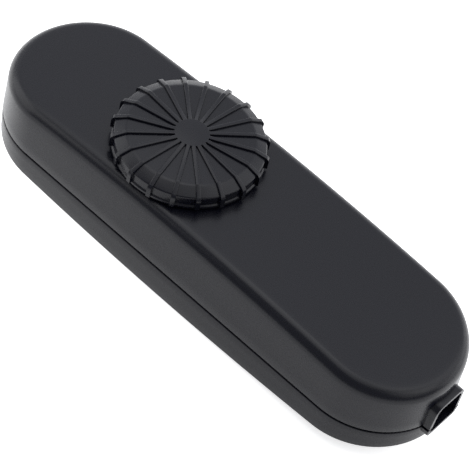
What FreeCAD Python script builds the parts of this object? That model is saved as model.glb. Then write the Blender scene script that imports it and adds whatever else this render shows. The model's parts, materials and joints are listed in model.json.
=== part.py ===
"""Rotary cord dimmer: a crowned two-part housing with a ribbed knob, and the dimmer circuit inside it.

Millimetres. +X runs along the body to the lamp end, +Z is up, and the origin lies under the
middle of the body, on the plane that the underside's flat land stands on.
"""

import FreeCAD
import Part

import math
import os

from FreeCAD import Vector

# Housing
BODY_LENGTH = 120.8
BODY_WIDTH = 36.0
BODY_HEIGHT = 23.2  # from the belly's lowest line to the crown's highest, at mid length
SEAM_HEIGHT = 8.4  # from the belly's lowest line to the parting plane
CROWN_SAG = 3.0  # drop of the crown, and rise of the belly, at the two ends
WALL = 2.2
COVER_DRAFT = 0.04  # inset of the cover's wall for each millimetre of height
BASE_DRAFT = 0.018
TOP_EDGE_RADIUS = 2.6
BELLY_EDGE_RADIUS = 0.6
SEAM_GAP = 0.28  # shadow line between the two halves
TONGUE_THICKNESS = 0.9
TONGUE_HEIGHT = 1.6  # above the parting plane
TONGUE_CLEARANCE = 0.1
LAND_LENGTH = 80.0
LAND_WIDTH = 20.0
LAND_CORNER = 9.0
LAND_PROUD = 0.4  # how far the flat land stands below the belly's lowest line

# Cord entries: a plain hole at the mains end, and one with a collar at the lamp end
COLLAR_REACH = 1.0  # past the end of the body
COLLAR_WALL = 0.9
COLLAR_SEAM_WIDTH = 9.7
COLLAR_TOP_WIDTH = 9.3
COLLAR_LOW_WIDTH = 9.6
COLLAR_TRAY_PROUD = 0.25  # by which the lower part is wider on each side than the upper
COLLAR_RISE = 7.1  # above the parting plane
COLLAR_DROP = 2.5  # below the parting plane
COLLAR_TOP_ROUND = 2.3
COLLAR_LOW_ROUND = 1.5

# Housing screws
HOUSING_SCREW_INSET = 6.0  # from the body's long side
HOUSING_SCREW_SPACING = 2.75  # between a screw's boss and the cord clamp's post
HOUSING_BOSS_RADIUS = 3.0
HOUSING_SCREW_RADIUS = 1.45
HOUSING_SCREW_REACH = 6.5  # into the cover's boss
HOUSING_HEAD_RADIUS = 2.6
HOUSING_HEAD_HEIGHT = 2.0
HOUSING_HEAD_SEAT = 4.6  # height of the counterbore's floor
SCREW_CLEARANCE = 0.05
PILOT_SPARE = 0.8  # depth of a pilot hole past its screw's tip
HEAD_CLEARANCE = 0.25
RECESS_WIDTH = 0.7  # of a cross-head screw's slots
RECESS_DEPTH = 0.9
RECESS_SPAN = 0.6  # share of a head's radius that the slots reach
PAN_CHAMFER = 0.33  # share of a head's height that its rim is chamfered by
TOUCH = 1e-3  # nearer than this, two places count as one
MITRED = 1  # how a sweep turns a sharp corner

# Knob
KNOB_X = -14.0
KNOB_GAP = 0.6  # over the crown's highest line
KNOB_HEIGHT = 4.8
KNOB_RIM_RADIUS = 16.15
KNOB_FLANGE_PROUD = 0.3
KNOB_FLANGE_HEIGHT = 0.9
KNOB_BEVEL_WIDTH = 2.55
KNOB_BEVEL_DROP = 1.2
KNOB_BEVEL_ROUND = 2.0
KNOB_RIM_ROUND = 0.5
KNOB_PANEL_SLOPE = 0.1  # fall of a panel from the hub to the bevel
KNOB_SKIN = 1.6
KNOB_HUB_RADIUS = 3.7
RIB_COUNT = 20
RIB_PHASE = 13.0  # degrees from +X to the first rib
RIB_WIDTH = 0.95
RIB_PROUD = 0.5  # above the panels
RIB_OVERHANG = 0.8  # past the rim
RIB_EDGE_CHAMFER = 0.2
RIB_BEND_ROUND = 1.3
SOCKET_RADIUS = 5.0
SOCKET_TOP_SKIN = 1.5

# Potentiometer and its switch
SHAFT_RADIUS = 3.0
SHAFT_FLAT = 1.6  # from the axis to the flat that drives the knob
SHAFT_FLAT_LENGTH = 2.8
RUNNING_CLEARANCE = 0.05
COVER_HOLE_CLEARANCE = 0.35
GUIDE_WALL = 1.8
GUIDE_LENGTH = 1.6
POT_SIDE = 16.4
POT_CORNER = 1.5
SWITCH_HEIGHT = 4.5
SWITCH_PIN_X = 5.5
SWITCH_PIN_Y = 4.0
POT_HEIGHT = 5.5
POT_ROOF = 1.2
POT_CAVITY_RADIUS = 7.2
BUSH_RADIUS = 4.6
BUSH_HEIGHT = 1.9
ROTOR_RADIUS = 6.6
ROTOR_THICKNESS = 1.2
ROTOR_CLEARANCE = 0.1
TAIL_RADIUS = 1.5
TAIL_LENGTH = 2.4  # into the switch
TRACK_THICKNESS = 0.8
TRACK_BORE_RADIUS = 2.4
WIPER_WIDTH = 2.0
WIPER_THICKNESS = 0.3

# Circuit board
BOARD_THICKNESS = 1.6
BOARD_CORNER = 1.5
BOARD_HEIGHT = 6.0  # underside above the land
BOARD_CLEARANCE = 0.4  # round the housing's bosses
PART_GAP = 0.6  # between neighbours on the board
EDGE_ROOM = 0.7  # from the parts to the board's edges
BOARD_POST_RADIUS = 3.0
BOARD_SCREW_RADIUS = 1.2
BOARD_SCREW_DEPTH = 2.0
BOARD_HEAD_RADIUS = 2.2
BOARD_HEAD_HEIGHT = 1.6
PIN_RADIUS = 0.4
PIN_TAIL = 1.2  # below the board
PIN_CLEARANCE = 0.12

# Terminal blocks
TERMINAL_LENGTH = 7.5
TERMINAL_WIDTH = 11.0
TERMINAL_HEIGHT = 10.0
TERMINAL_PITCH = 5.0
TERMINAL_CHAMFER = 1.6
WIRE_WAY_RADIUS = 1.5
WIRE_WAY_HEIGHT = 3.4  # above the board
TERMINAL_SCREW_RADIUS = 1.3
TERMINAL_SCREW_LENGTH = 5.0
TERMINAL_SCREW_SINK = 0.8

# Cord clamps
CLAMP_INSET = 13.4  # from the end of the body
CLAMP_SCREW_Y = 7.5
CLAMP_POST_RADIUS = 2.75
CLAMP_LENGTH = 5.0
CLAMP_THICKNESS = 2.5
CLAMP_CORNER = 2.2
CLAMP_TEETH = 2
CLAMP_TOOTH = 0.5
CLAMP_SCREW_RADIUS = 1.2
CLAMP_SCREW_DEPTH = 6.0
CLAMP_HEAD_RADIUS = 2.3
CLAMP_HEAD_HEIGHT = 1.6
SADDLE_THICKNESS = 2.0
CORD_ROOM = 7.6  # height between a clamp's saddle and its bar
CORD_SPARE = 0.1  # by which a saddle lies below the hole's floor

# Parts on the board
CHOKE_CORE_RADIUS = 6.4
CHOKE_BORE_RADIUS = 3.4
CHOKE_CORE_HEIGHT = 5.6
CHOKE_WIRE = 0.9
CHOKE_TURNS = 22
CHOKE_TURN_WIDTH = 0.6
CHOKE_PITCH = 5.0
CHOKE_SWEEP = 330.0  # degrees of the ring that the winding covers
FUSE_LENGTH = 20.0
FUSE_RADIUS = 2.5
FUSE_CAP_LENGTH = 5.0
FUSE_CAP_WALL = 0.2
FUSE_HEIGHT = 4.2  # axis above the board
CLIP_WIDTH = 4.0
CLIP_WALL = 0.5
CAPACITOR_ROUND = 0.4
MAINS_CAP_LENGTH = 5.8  # along X
MAINS_CAP_WIDTH = 12.8
MAINS_CAP_HEIGHT = 11.6
MAINS_CAP_PITCH = 10.0
GATE_CAP_LENGTH = 7.2
GATE_CAP_WIDTH = 2.8
GATE_CAP_HEIGHT = 6.5
GATE_CAP_PITCH = 5.0
DIAC_RADIUS = 0.95
DIAC_LENGTH = 3.8
RESISTOR_RADIUS = 1.2
RESISTOR_LENGTH = 6.3
LEAD_RADIUS = 0.3
LEAD_OVERHANG = 1.2
SINK_THICKNESS = 1.5
SINK_WIDTH = 10.4
SINK_HEIGHT = 12.4
TRIAC_THICKNESS = 2.8
TRIAC_WIDTH = 7.8
TRIAC_HEIGHT = 10.6
TRIAC_LIFT = 1.2  # body above the board
TRIAC_PITCH = 2.3
TRIAC_SCREW_RADIUS = 1.45
TRIAC_SCREW_HEIGHT = 8.6  # axis above the board
TRIAC_HEAD_RADIUS = 2.6
TRIAC_HEAD_HEIGHT = 1.8
TRIAC_NUT_ACROSS = 5.5
TRIAC_NUT_THICKNESS = 2.2

# Levels and places that follow from the sizes above
HALF_STRAIGHT = (BODY_LENGTH - BODY_WIDTH) / 2
END_RADIUS = BODY_WIDTH / 2
BELLY_Z = LAND_PROUD
SEAM_Z = BELLY_Z + SEAM_HEIGHT
CROWN_Z = BELLY_Z + BODY_HEIGHT
COVER_RIM_Z = SEAM_Z + SEAM_GAP / 2
BASE_RIM_Z = SEAM_Z - SEAM_GAP / 2
LEDGE_Z = SEAM_Z + TONGUE_HEIGHT
CROWN_RADIUS = ((BODY_LENGTH / 2) ** 2 + CROWN_SAG**2) / (2 * CROWN_SAG)
COLLAR_FACE_X = BODY_LENGTH / 2 + COLLAR_REACH
COLLAR_ROOT_X = HALF_STRAIGHT
KNOB_LOW_Z = CROWN_Z + KNOB_GAP
KNOB_TOP_Z = KNOB_LOW_Z + KNOB_HEIGHT
SHAFT_TOP_Z = KNOB_TOP_Z - SOCKET_TOP_SKIN
BOARD_TOP_Z = BOARD_HEIGHT + BOARD_THICKNESS
SWITCH_TOP_Z = BOARD_TOP_Z + SWITCH_HEIGHT
POT_TOP_Z = SWITCH_TOP_Z + POT_HEIGHT
ROTOR_TOP_Z = POT_TOP_Z - POT_ROOF - ROTOR_CLEARANCE
SADDLE_Z = SEAM_Z - COLLAR_DROP + COLLAR_WALL - CORD_SPARE
CLAMP_Z = SADDLE_Z + CORD_ROOM
SIDES = (-1, 1)
LAMP_SIDE = 1
QUARTERS = [(sx, sy) for sx in SIDES for sy in SIDES]
CLAMP_X = BODY_LENGTH / 2 - CLAMP_INSET
CLAMP_SCREWS = [(sx * CLAMP_X, sy * CLAMP_SCREW_Y) for sx, sy in QUARTERS]
HOUSING_SCREW_X = CLAMP_X - CLAMP_POST_RADIUS - HOUSING_SCREW_SPACING - HOUSING_BOSS_RADIUS
HOUSING_SCREW_Y = BODY_WIDTH / 2 - HOUSING_SCREW_INSET
HOUSING_SCREWS = [(sx * HOUSING_SCREW_X, sy * HOUSING_SCREW_Y) for sx, sy in QUARTERS]

# Places on the board, set out from the potentiometer to both ends
POT_LOW_X = KNOB_X - POT_SIDE / 2
POT_HIGH_X = KNOB_X + POT_SIDE / 2
CHOKE_RADIUS = CHOKE_CORE_RADIUS + CHOKE_WIRE
CLIP_RADIUS = FUSE_RADIUS + CLIP_WALL
RESISTOR_REACH = RESISTOR_LENGTH / 2 + LEAD_OVERHANG + LEAD_RADIUS
DIAC_REACH = DIAC_LENGTH / 2 + LEAD_OVERHANG + LEAD_RADIUS
RESISTOR_ROW_X = POT_LOW_X - PART_GAP - RESISTOR_RADIUS
RESISTOR_ROW_Y = PART_GAP + RESISTOR_REACH
INNER_SCREW_X = POT_HIGH_X + PART_GAP + BOARD_HEAD_RADIUS
CHOKE_X = INNER_SCREW_X + BOARD_HEAD_RADIUS + PART_GAP + CHOKE_RADIUS
MAINS_CAP_X = CHOKE_X + CHOKE_RADIUS + PART_GAP + MAINS_CAP_LENGTH / 2
OUTER_SCREW_X = MAINS_CAP_X + MAINS_CAP_LENGTH / 2 + PART_GAP + BOARD_HEAD_RADIUS
FUSE_X = POT_HIGH_X + PART_GAP + FUSE_LENGTH / 2
SINK_X = FUSE_X + FUSE_LENGTH / 2 + PART_GAP + TRIAC_NUT_THICKNESS
TRIAC_END_X = SINK_X + SINK_THICKNESS + TRIAC_THICKNESS + TRIAC_HEAD_HEIGHT
MAINS_REACH = RESISTOR_RADIUS - RESISTOR_ROW_X + PART_GAP + TERMINAL_LENGTH
LAMP_REACH = TRIAC_END_X + PART_GAP + TERMINAL_LENGTH
BOARD_LENGTH = 2 * max(MAINS_REACH, LAMP_REACH)
SINK_ROWS = SINK_WIDTH + PART_GAP + MAINS_CAP_WIDTH
CHOKE_ROWS = 2 * CLIP_RADIUS + PART_GAP + 2 * CHOKE_RADIUS
POT_ROWS = POT_SIDE + 2 * (PART_GAP + max(GATE_CAP_WIDTH, 2 * RESISTOR_RADIUS))
BOARD_WIDTH = max(SINK_ROWS, CHOKE_ROWS, POT_ROWS) + 2 * EDGE_ROOM
PART_LIMIT_Y = BOARD_WIDTH / 2 - EDGE_ROOM
CHOKE_Y = PART_LIMIT_Y - CHOKE_RADIUS
MAINS_CAP_Y = PART_LIMIT_Y - MAINS_CAP_WIDTH / 2
FUSE_Y = CLIP_RADIUS - PART_LIMIT_Y
SINK_Y = SINK_WIDTH / 2 - PART_LIMIT_Y
GATE_CAP_X = POT_HIGH_X - PART_GAP - GATE_CAP_LENGTH / 2
GATE_CAP_Y = GATE_CAP_WIDTH / 2 - PART_LIMIT_Y
DIAC_X = GATE_CAP_X - GATE_CAP_LENGTH / 2 - PART_GAP - DIAC_REACH
RESISTOR_PLACES = [(RESISTOR_ROW_X, side * RESISTOR_ROW_Y, 90.0) for side in SIDES]
RESISTOR_PLACES.append((KNOB_X, PART_LIMIT_Y - RESISTOR_RADIUS, 0.0))
TERMINAL_X = (BOARD_LENGTH - TERMINAL_LENGTH) / 2
BOARD_POST_X = BOARD_LENGTH / 2 - EDGE_ROOM - BOARD_POST_RADIUS
BOARD_POST_Y = PART_LIMIT_Y - BOARD_POST_RADIUS
BOARD_SCREWS = [(INNER_SCREW_X, BOARD_POST_Y), (OUTER_SCREW_X, BOARD_POST_Y)]
PLAIN_CORNERS = [(sx, sy) for sx, sy in QUARTERS if sx < 0 or sy < 0]  # a screw's post carries the fourth
BOARD_POSTS = [(sx * BOARD_POST_X, sy * BOARD_POST_Y) for sx, sy in PLAIN_CORNERS] + BOARD_SCREWS


# Shapes used by several pieces


def block(x_low, x_high, y_low, y_high, z_low, z_high):
    return Part.makeBox(x_high - x_low, y_high - y_low, z_high - z_low, Vector(x_low, y_low, z_low))


def centred_block(x, y, size, z_low):
    length, width, height = size
    return block(x - length / 2, x + length / 2, y - width / 2, y + width / 2, z_low, z_low + height)


def post(radius, z_low, z_high, x=0.0, y=0.0):
    return Part.makeCylinder(radius, z_high - z_low, Vector(x, y, z_low))


def rod(radius, start, length, direction):
    return Part.makeCylinder(radius, length, start, direction)


def fused(first, *others):
    return first.multiFuse(list(others)).removeSplitter() if others else first


def rounded_wire(corners):
    """A closed wire through (point, radius) corners, each rounded by an arc where its radius is not 0."""
    ends = []
    arcs = []
    count = len(corners)
    for i, (point, radius) in enumerate(corners):
        to_last = (corners[i - 1][0] - point).normalize()
        to_next = (corners[(i + 1) % count][0] - point).normalize()
        if radius == 0:
            ends.append((point, point))
            continue
        half = to_last.getAngle(to_next) / 2
        reach = radius / math.tan(half)
        middle = point + (to_last + to_next).normalize() * (radius / math.sin(half) - radius)
        ends.append((point + to_last * reach, point + to_next * reach))
        arcs.append(Part.Arc(ends[-1][0], middle, ends[-1][1]).toShape())
    runs = []
    for i in range(count):
        start, stop = ends[i][1], ends[(i + 1) % count][0]
        if start.distanceToPoint(stop) > TOUCH:
            runs.append(Part.LineSegment(start, stop).toShape())
    return Part.Wire(Part.__sortEdges__(runs + arcs))


def prism(corners, direction):
    """A rounded outline pushed along a direction."""
    return Part.Face(rounded_wire(corners)).extrude(direction)


def rounded_plate(length, width, corner, z_low, z_high, x=0.0, y=0.0):
    signs = ((-1, -1), (1, -1), (1, 1), (-1, 1))
    corners = [(Vector(x + sx * length / 2, y + sy * width / 2, z_low), corner) for sx, sy in signs]
    return prism(corners, Vector(0, 0, z_high - z_low))


def turned(profile, x=0.0, y=0.0, angle=360.0):
    """A solid of revolution about a vertical line, from (radius, height, corner round) points."""
    corners = [(Vector(x + r, y, z), corner) for r, z, corner in profile]
    return Part.Face(rounded_wire(corners)).revolve(Vector(x, y, 0), Vector(0, 0, 1), angle)


def tapered_stadium(radius_low, z_low, radius_high, z_high):
    """A block with two straight sides and two round ends, its wall leaning in evenly all round."""

    def upright_face(x, outline):
        points = [Vector(x, y, z) for y, z in outline]
        return Part.Face(Part.makePolygon(points + points[:1]))

    section = [(-radius_low, z_low), (radius_low, z_low), (radius_high, z_high), (-radius_high, z_high)]
    middle = upright_face(-HALF_STRAIGHT, section).extrude(Vector(2 * HALF_STRAIGHT, 0, 0))
    ends = []
    for side in SIDES:
        half = [(0, z_low), (-side * radius_low, z_low), (-side * radius_high, z_high), (0, z_high)]
        face = upright_face(side * HALF_STRAIGHT, half)
        ends.append(face.revolve(Vector(side * HALF_STRAIGHT, 0, 0), Vector(0, 0, 1), 180))
    return fused(middle, *ends)


def bowed_block(apex_z, radius, far_z):
    """All that lies between a long arc over the body and a level plane: under a crown or above a belly."""
    reach = BODY_LENGTH / 2 + WALL
    up = 1 if far_z < apex_z else -1
    end_z = apex_z - up * (radius - math.sqrt(radius**2 - reach**2))
    outline = [(reach, end_z), (reach, far_z), (-reach, far_z), (-reach, end_z)]
    points = [Vector(x, -BODY_WIDTH, z) for x, z in outline]
    arc = Part.Arc(points[-1], Vector(0, -BODY_WIDTH, apex_z), points[0])
    lines = [Part.LineSegment(a, b).toShape() for a, b in zip(points, points[1:])]
    face = Part.Face(Part.Wire([arc.toShape()] + lines))
    return face.extrude(Vector(0, 2 * BODY_WIDTH, 0))


def bow_face(shape, radius):
    """The face of a shape that lies on the long arc of that radius."""
    round_faces = [f for f in shape.Faces if isinstance(f.Surface, Part.Cylinder)]
    bowed = [f for f in round_faces if abs(f.Surface.Radius - radius) < TOUCH]
    return max(bowed, key=lambda f: f.Area)


def level_edges(shape):
    return [e for e in shape.Edges if e.BoundBox.ZLength < TOUCH]


def cross_recess(x, y, z_low, reach):
    bar = centred_block(x, y, (2 * reach, RECESS_WIDTH, RECESS_DEPTH), z_low)
    return fused(bar, centred_block(x, y, (RECESS_WIDTH, 2 * reach, RECESS_DEPTH), z_low))


def pan_screw(x, y, seat_z, shank, head, upward):
    """A pan-head screw from its head's seat: shank and head are (radius, length)."""
    shank_radius, shank_length = shank
    head_radius, head_height = head
    way = 1 if upward else -1
    stem = rod(shank_radius, Vector(x, y, seat_z), shank_length, Vector(0, 0, way))
    cap = rod(head_radius, Vector(x, y, seat_z), head_height, Vector(0, 0, -way))
    top_z = seat_z - way * head_height
    rim = [e for e in level_edges(cap) if abs(e.BoundBox.ZMin - top_z) < TOUCH]
    cap = cap.makeChamfer(head_height * PAN_CHAMFER, rim)
    slot_z = top_z - (0 if upward else RECESS_DEPTH)
    return fused(stem, cap).cut(cross_recess(x, y, slot_z, head_radius * RECESS_SPAN))


def pins(places, lift=0.0):
    """Round leads from the board's top face, or a little above it, down through the board."""
    low = BOARD_HEIGHT - PIN_TAIL
    return [post(PIN_RADIUS, low, BOARD_TOP_Z + lift, x, y) for x, y in places]


# Housing


def cover_volume(inset):
    """The cover's outer shape, or its inside where inset is the wall's thickness."""
    radius = END_RADIUS - inset
    above = CROWN_Z + WALL
    lean = COVER_DRAFT * (above - COVER_RIM_Z)
    walls = tapered_stadium(radius, COVER_RIM_Z, radius - lean, above)
    return walls.common(bowed_block(CROWN_Z - inset, CROWN_RADIUS - inset, COVER_RIM_Z - WALL))


def base_volume(inset):
    """The base's outer shape, or its inside where inset is the wall's thickness."""
    radius = END_RADIUS - inset
    below = BELLY_Z - WALL
    lean = BASE_DRAFT * (BASE_RIM_Z - below)
    walls = tapered_stadium(radius - lean, below, radius, BASE_RIM_Z)
    return walls.common(bowed_block(BELLY_Z + inset, CROWN_RADIUS - inset, BASE_RIM_Z + WALL))


def collar_upper(side, wall, start_x, stop_x):
    """The arched upper part of a cord entry, taken in by wall: the collar's outside, or its hole."""
    low, high = COLLAR_SEAM_WIDTH / 2 - wall, COLLAR_TOP_WIDTH / 2 - wall
    top = SEAM_Z + COLLAR_RISE - wall
    foot = COVER_RIM_Z if wall == 0 else SEAM_Z - COLLAR_WALL
    corner = COLLAR_TOP_ROUND - wall
    points = [(-low, foot, 0), (-high, top, corner), (high, top, corner), (low, foot, 0)]
    corners = [(Vector(side * start_x, y, z), r) for y, z, r in points]
    return prism(corners, Vector(side * (stop_x - start_x), 0, 0))


def collar_lower(side, wall, start_x, stop_x):
    """The tray-shaped lower part of a cord entry, taken in by wall."""
    high = COLLAR_SEAM_WIDTH / 2 + COLLAR_TRAY_PROUD - wall
    low = COLLAR_LOW_WIDTH / 2 - wall
    floor = SEAM_Z - COLLAR_DROP + wall
    brim = BASE_RIM_Z if wall == 0 else LEDGE_Z + COLLAR_WALL
    corner = COLLAR_LOW_ROUND - wall
    points = [(-high, brim, 0), (-low, floor, corner), (low, floor, corner), (high, brim, 0)]
    corners = [(Vector(side * start_x, y, z), r) for y, z, r in points]
    return prism(corners, Vector(side * (stop_x - start_x), 0, 0))


def top_cover():
    outside = cover_volume(0)
    outside = outside.makeFillet(TOP_EDGE_RADIUS, bow_face(outside, CROWN_RADIUS).OuterWire.Edges)
    inside = cover_volume(WALL)
    collar = collar_upper(LAMP_SIDE, 0, COLLAR_ROOT_X, COLLAR_FACE_X).cut(inside)
    hole_radius = SHAFT_RADIUS + COVER_HOLE_CLEARANCE
    guide = post(hole_radius + GUIDE_WALL, CROWN_Z - WALL - GUIDE_LENGTH, CROWN_Z - WALL / 2, KNOB_X)
    under_skin = cover_volume(WALL / 2)
    bosses = [post(HOUSING_BOSS_RADIUS, LEDGE_Z, CROWN_Z, x, y) for x, y in HOUSING_SCREWS]
    bosses = [boss.common(under_skin) for boss in bosses]
    cover = fused(outside.cut(inside), collar, guide, *bosses)
    rebate_radius = END_RADIUS - WALL + TONGUE_THICKNESS + TONGUE_CLEARANCE
    cuts = [tapered_stadium(rebate_radius, SEAM_Z - WALL, rebate_radius, LEDGE_Z)]
    cuts += [collar_upper(side, COLLAR_WALL, COLLAR_ROOT_X, COLLAR_FACE_X + WALL) for side in SIDES]
    cuts.append(post(hole_radius, LEDGE_Z, CROWN_Z + WALL, KNOB_X))
    pilot = HOUSING_SCREW_RADIUS + SCREW_CLEARANCE
    depth = HOUSING_SCREW_REACH + PILOT_SPARE
    cuts += [post(pilot, LEDGE_Z - WALL, LEDGE_Z + depth, x, y) for x, y in HOUSING_SCREWS]
    return cover.cut(cuts)


def base_tray():
    outside = base_volume(0)
    outside = outside.makeFillet(BELLY_EDGE_RADIUS, bow_face(outside, CROWN_RADIUS).OuterWire.Edges)
    inside = base_volume(WALL)
    tongue_radius = END_RADIUS - WALL + TONGUE_THICKNESS
    tongue = tapered_stadium(tongue_radius, BASE_RIM_Z - WALL, tongue_radius, LEDGE_Z)
    tongue = tongue.cut(tapered_stadium(END_RADIUS - WALL, BELLY_Z, END_RADIUS - WALL, LEDGE_Z + WALL))
    land = rounded_plate(LAND_LENGTH, LAND_WIDTH, LAND_CORNER, 0, WALL)
    collar = collar_lower(LAMP_SIDE, 0, COLLAR_ROOT_X, COLLAR_FACE_X).cut(inside)
    above_belly = bowed_block(BELLY_Z + WALL / 2, CROWN_RADIUS - WALL / 2, CROWN_Z)
    stands = [post(HOUSING_BOSS_RADIUS, BELLY_Z, LEDGE_Z, x, y) for x, y in HOUSING_SCREWS]
    stands += [post(BOARD_POST_RADIUS, BELLY_Z, BOARD_HEIGHT, x, y) for x, y in BOARD_POSTS]
    stands += [post(CLAMP_POST_RADIUS, BELLY_Z, CLAMP_Z, x, y) for x, y in CLAMP_SCREWS]
    saddle = (SADDLE_THICKNESS, 2 * CLAMP_SCREW_Y, SADDLE_Z - BELLY_Z)
    stands += [centred_block(side * CLAMP_X, 0, saddle, BELLY_Z) for side in SIDES]
    stands = [s.common(above_belly) for s in stands]
    tray = fused(outside.cut(inside), tongue, land, collar, *stands)
    cuts = [collar_lower(side, COLLAR_WALL, COLLAR_ROOT_X, COLLAR_FACE_X + WALL) for side in SIDES]
    shank = HOUSING_SCREW_RADIUS + HEAD_CLEARANCE
    cuts += [post(shank, 0, LEDGE_Z + WALL, x, y) for x, y in HOUSING_SCREWS]
    counterbore = HOUSING_HEAD_RADIUS + HEAD_CLEARANCE
    cuts += [post(counterbore, -WALL, HOUSING_HEAD_SEAT, x, y) for x, y in HOUSING_SCREWS]
    pilot = BOARD_SCREW_RADIUS + SCREW_CLEARANCE
    pilot_floor = BOARD_HEIGHT - BOARD_SCREW_DEPTH - PILOT_SPARE
    cuts += [post(pilot, pilot_floor, BOARD_TOP_Z, x, y) for x, y in BOARD_SCREWS]
    pilot = CLAMP_SCREW_RADIUS + SCREW_CLEARANCE
    pilot_floor = CLAMP_Z - CLAMP_SCREW_DEPTH - PILOT_SPARE
    cuts += [post(pilot, pilot_floor, CLAMP_Z + WALL, x, y) for x, y in CLAMP_SCREWS]
    return tray.cut(cuts)


def housing_screws():
    shank = (HOUSING_SCREW_RADIUS, LEDGE_Z + HOUSING_SCREW_REACH - HOUSING_HEAD_SEAT)
    head = (HOUSING_HEAD_RADIUS, HOUSING_HEAD_HEIGHT)
    screws = [pan_screw(x, y, HOUSING_HEAD_SEAT, shank, head, True) for x, y in HOUSING_SCREWS]
    return Part.makeCompound(screws)


# Knob


def knob_rib():
    """One rib along +X: it lies on the panel, bends over the bevel and runs down the rim."""
    bevel_x = KNOB_RIM_RADIUS - KNOB_BEVEL_WIDTH
    bevel_slope = KNOB_BEVEL_DROP / KNOB_BEVEL_WIDTH
    tip_x = KNOB_RIM_RADIUS + RIB_OVERHANG
    bend_z = KNOB_TOP_Z - KNOB_PANEL_SLOPE
    tip_z = bend_z - bevel_slope * (tip_x - bevel_x)
    foot_z = KNOB_LOW_Z + KNOB_FLANGE_PROUD
    root_x = KNOB_RIM_RADIUS - KNOB_SKIN / 2
    start_x = KNOB_HUB_RADIUS / 2
    under_z = KNOB_TOP_Z - RIB_PROUD - KNOB_SKIN / 2
    points = [(start_x, under_z, 0), (start_x, KNOB_TOP_Z, 0), (bevel_x, bend_z, RIB_BEND_ROUND)]
    points += [(tip_x, tip_z, RIB_BEND_ROUND), (tip_x, foot_z, 0), (root_x, foot_z, 0)]
    points += [(root_x, under_z - KNOB_BEVEL_DROP, 0), (bevel_x, under_z, 0)]
    corners = [(Vector(x, -RIB_WIDTH / 2, z), r) for x, z, r in points]
    rib = prism(corners, Vector(0, RIB_WIDTH, 0))
    outer = []
    for edge in rib.Edges:
        box = edge.BoundBox
        on_side = box.YLength < TOUCH
        on_crest = box.ZMax > tip_z + TOUCH and box.ZMax > under_z + TOUCH and box.XLength > TOUCH
        on_tip = box.XMin > tip_x - TOUCH
        if on_side and (on_crest or on_tip):
            outer.append(edge)
    return rib.makeChamfer(RIB_EDGE_CHAMFER, outer)


def knob():
    panel_z = KNOB_TOP_Z - RIB_PROUD
    bevel_r = KNOB_RIM_RADIUS - KNOB_BEVEL_WIDTH
    flange_r = KNOB_RIM_RADIUS + KNOB_FLANGE_PROUD
    flange_z = KNOB_LOW_Z + KNOB_FLANGE_HEIGHT
    ceiling_z = panel_z - KNOB_PANEL_SLOPE - KNOB_SKIN
    profile = [(0, KNOB_TOP_Z, 0), (KNOB_HUB_RADIUS, KNOB_TOP_Z, 0), (KNOB_HUB_RADIUS, panel_z, 0)]
    edge_z = panel_z - KNOB_PANEL_SLOPE
    profile += [(bevel_r, edge_z, KNOB_BEVEL_ROUND)]
    profile += [(KNOB_RIM_RADIUS, edge_z - KNOB_BEVEL_DROP, KNOB_RIM_ROUND)]
    profile += [(KNOB_RIM_RADIUS, flange_z, 0), (flange_r, flange_z - KNOB_FLANGE_PROUD, 0)]
    profile += [(flange_r, KNOB_LOW_Z, 0)]
    profile += [(KNOB_RIM_RADIUS - KNOB_SKIN, KNOB_LOW_Z, 0), (KNOB_RIM_RADIUS - KNOB_SKIN, ceiling_z, 0)]
    profile += [(SOCKET_RADIUS, ceiling_z, 0), (SOCKET_RADIUS, KNOB_LOW_Z, 0), (0, KNOB_LOW_Z, 0)]
    body = turned(profile)
    ribs = []
    for i in range(RIB_COUNT):
        rib = knob_rib()
        rib.rotate(Vector(0, 0, 0), Vector(0, 0, 1), RIB_PHASE + 360.0 * i / RIB_COUNT)
        ribs.append(rib)
    body = fused(body, *ribs)
    body = body.cut(shaft_bore())
    body.translate(Vector(KNOB_X, 0, 0))
    return body


def shaft_bore():
    """The knob's socket: a round bore with a flat on one side where the shaft has its own."""
    radius = SHAFT_RADIUS + RUNNING_CLEARANCE
    bore = post(radius, KNOB_LOW_Z - WALL, SHAFT_TOP_Z)
    flat_x = SHAFT_FLAT + RUNNING_CLEARANCE
    flat_z = SHAFT_TOP_Z - SHAFT_FLAT_LENGTH + RUNNING_CLEARANCE
    return bore.cut(block(flat_x, 2 * radius, -radius, radius, flat_z, SHAFT_TOP_Z))


# Potentiometer and switch


def pot_shaft():
    """The shaft, its rotor disc inside the case, and the tail that works the switch."""
    rotor_low = ROTOR_TOP_Z - ROTOR_THICKNESS
    stem = post(SHAFT_RADIUS, rotor_low, SHAFT_TOP_Z)
    flat_z = SHAFT_TOP_Z - SHAFT_FLAT_LENGTH
    flat = block(SHAFT_FLAT, SHAFT_RADIUS * 2, -SHAFT_RADIUS, SHAFT_RADIUS, flat_z, SHAFT_TOP_Z)
    rotor = post(ROTOR_RADIUS, rotor_low, ROTOR_TOP_Z)
    tail = post(TAIL_RADIUS, SWITCH_TOP_Z - TAIL_LENGTH, rotor_low)
    shaft = fused(stem.cut(flat), rotor, tail)
    shaft.translate(Vector(KNOB_X, 0, 0))
    return shaft


def pot_wiper():
    """A bent spring strip under the rotor that slides on the track."""
    high = ROTOR_TOP_Z - ROTOR_THICKNESS
    low = SWITCH_TOP_Z + TRACK_THICKNESS + RUNNING_CLEARANCE
    near, far = TRACK_BORE_RADIUS + WIPER_THICKNESS, ROTOR_RADIUS - WIPER_THICKNESS
    knee = (near + far) / 2
    under = high - WIPER_THICKNESS
    points = [(near, high), (knee, high), (far, low + WIPER_THICKNESS), (far, low)]
    points += [(knee + 2 * WIPER_THICKNESS, low), (knee - WIPER_THICKNESS, under), (near, under)]
    corners = [(Vector(KNOB_X + x, -WIPER_WIDTH / 2, z), 0) for x, z in points]
    return prism(corners, Vector(0, WIPER_WIDTH, 0))


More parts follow.
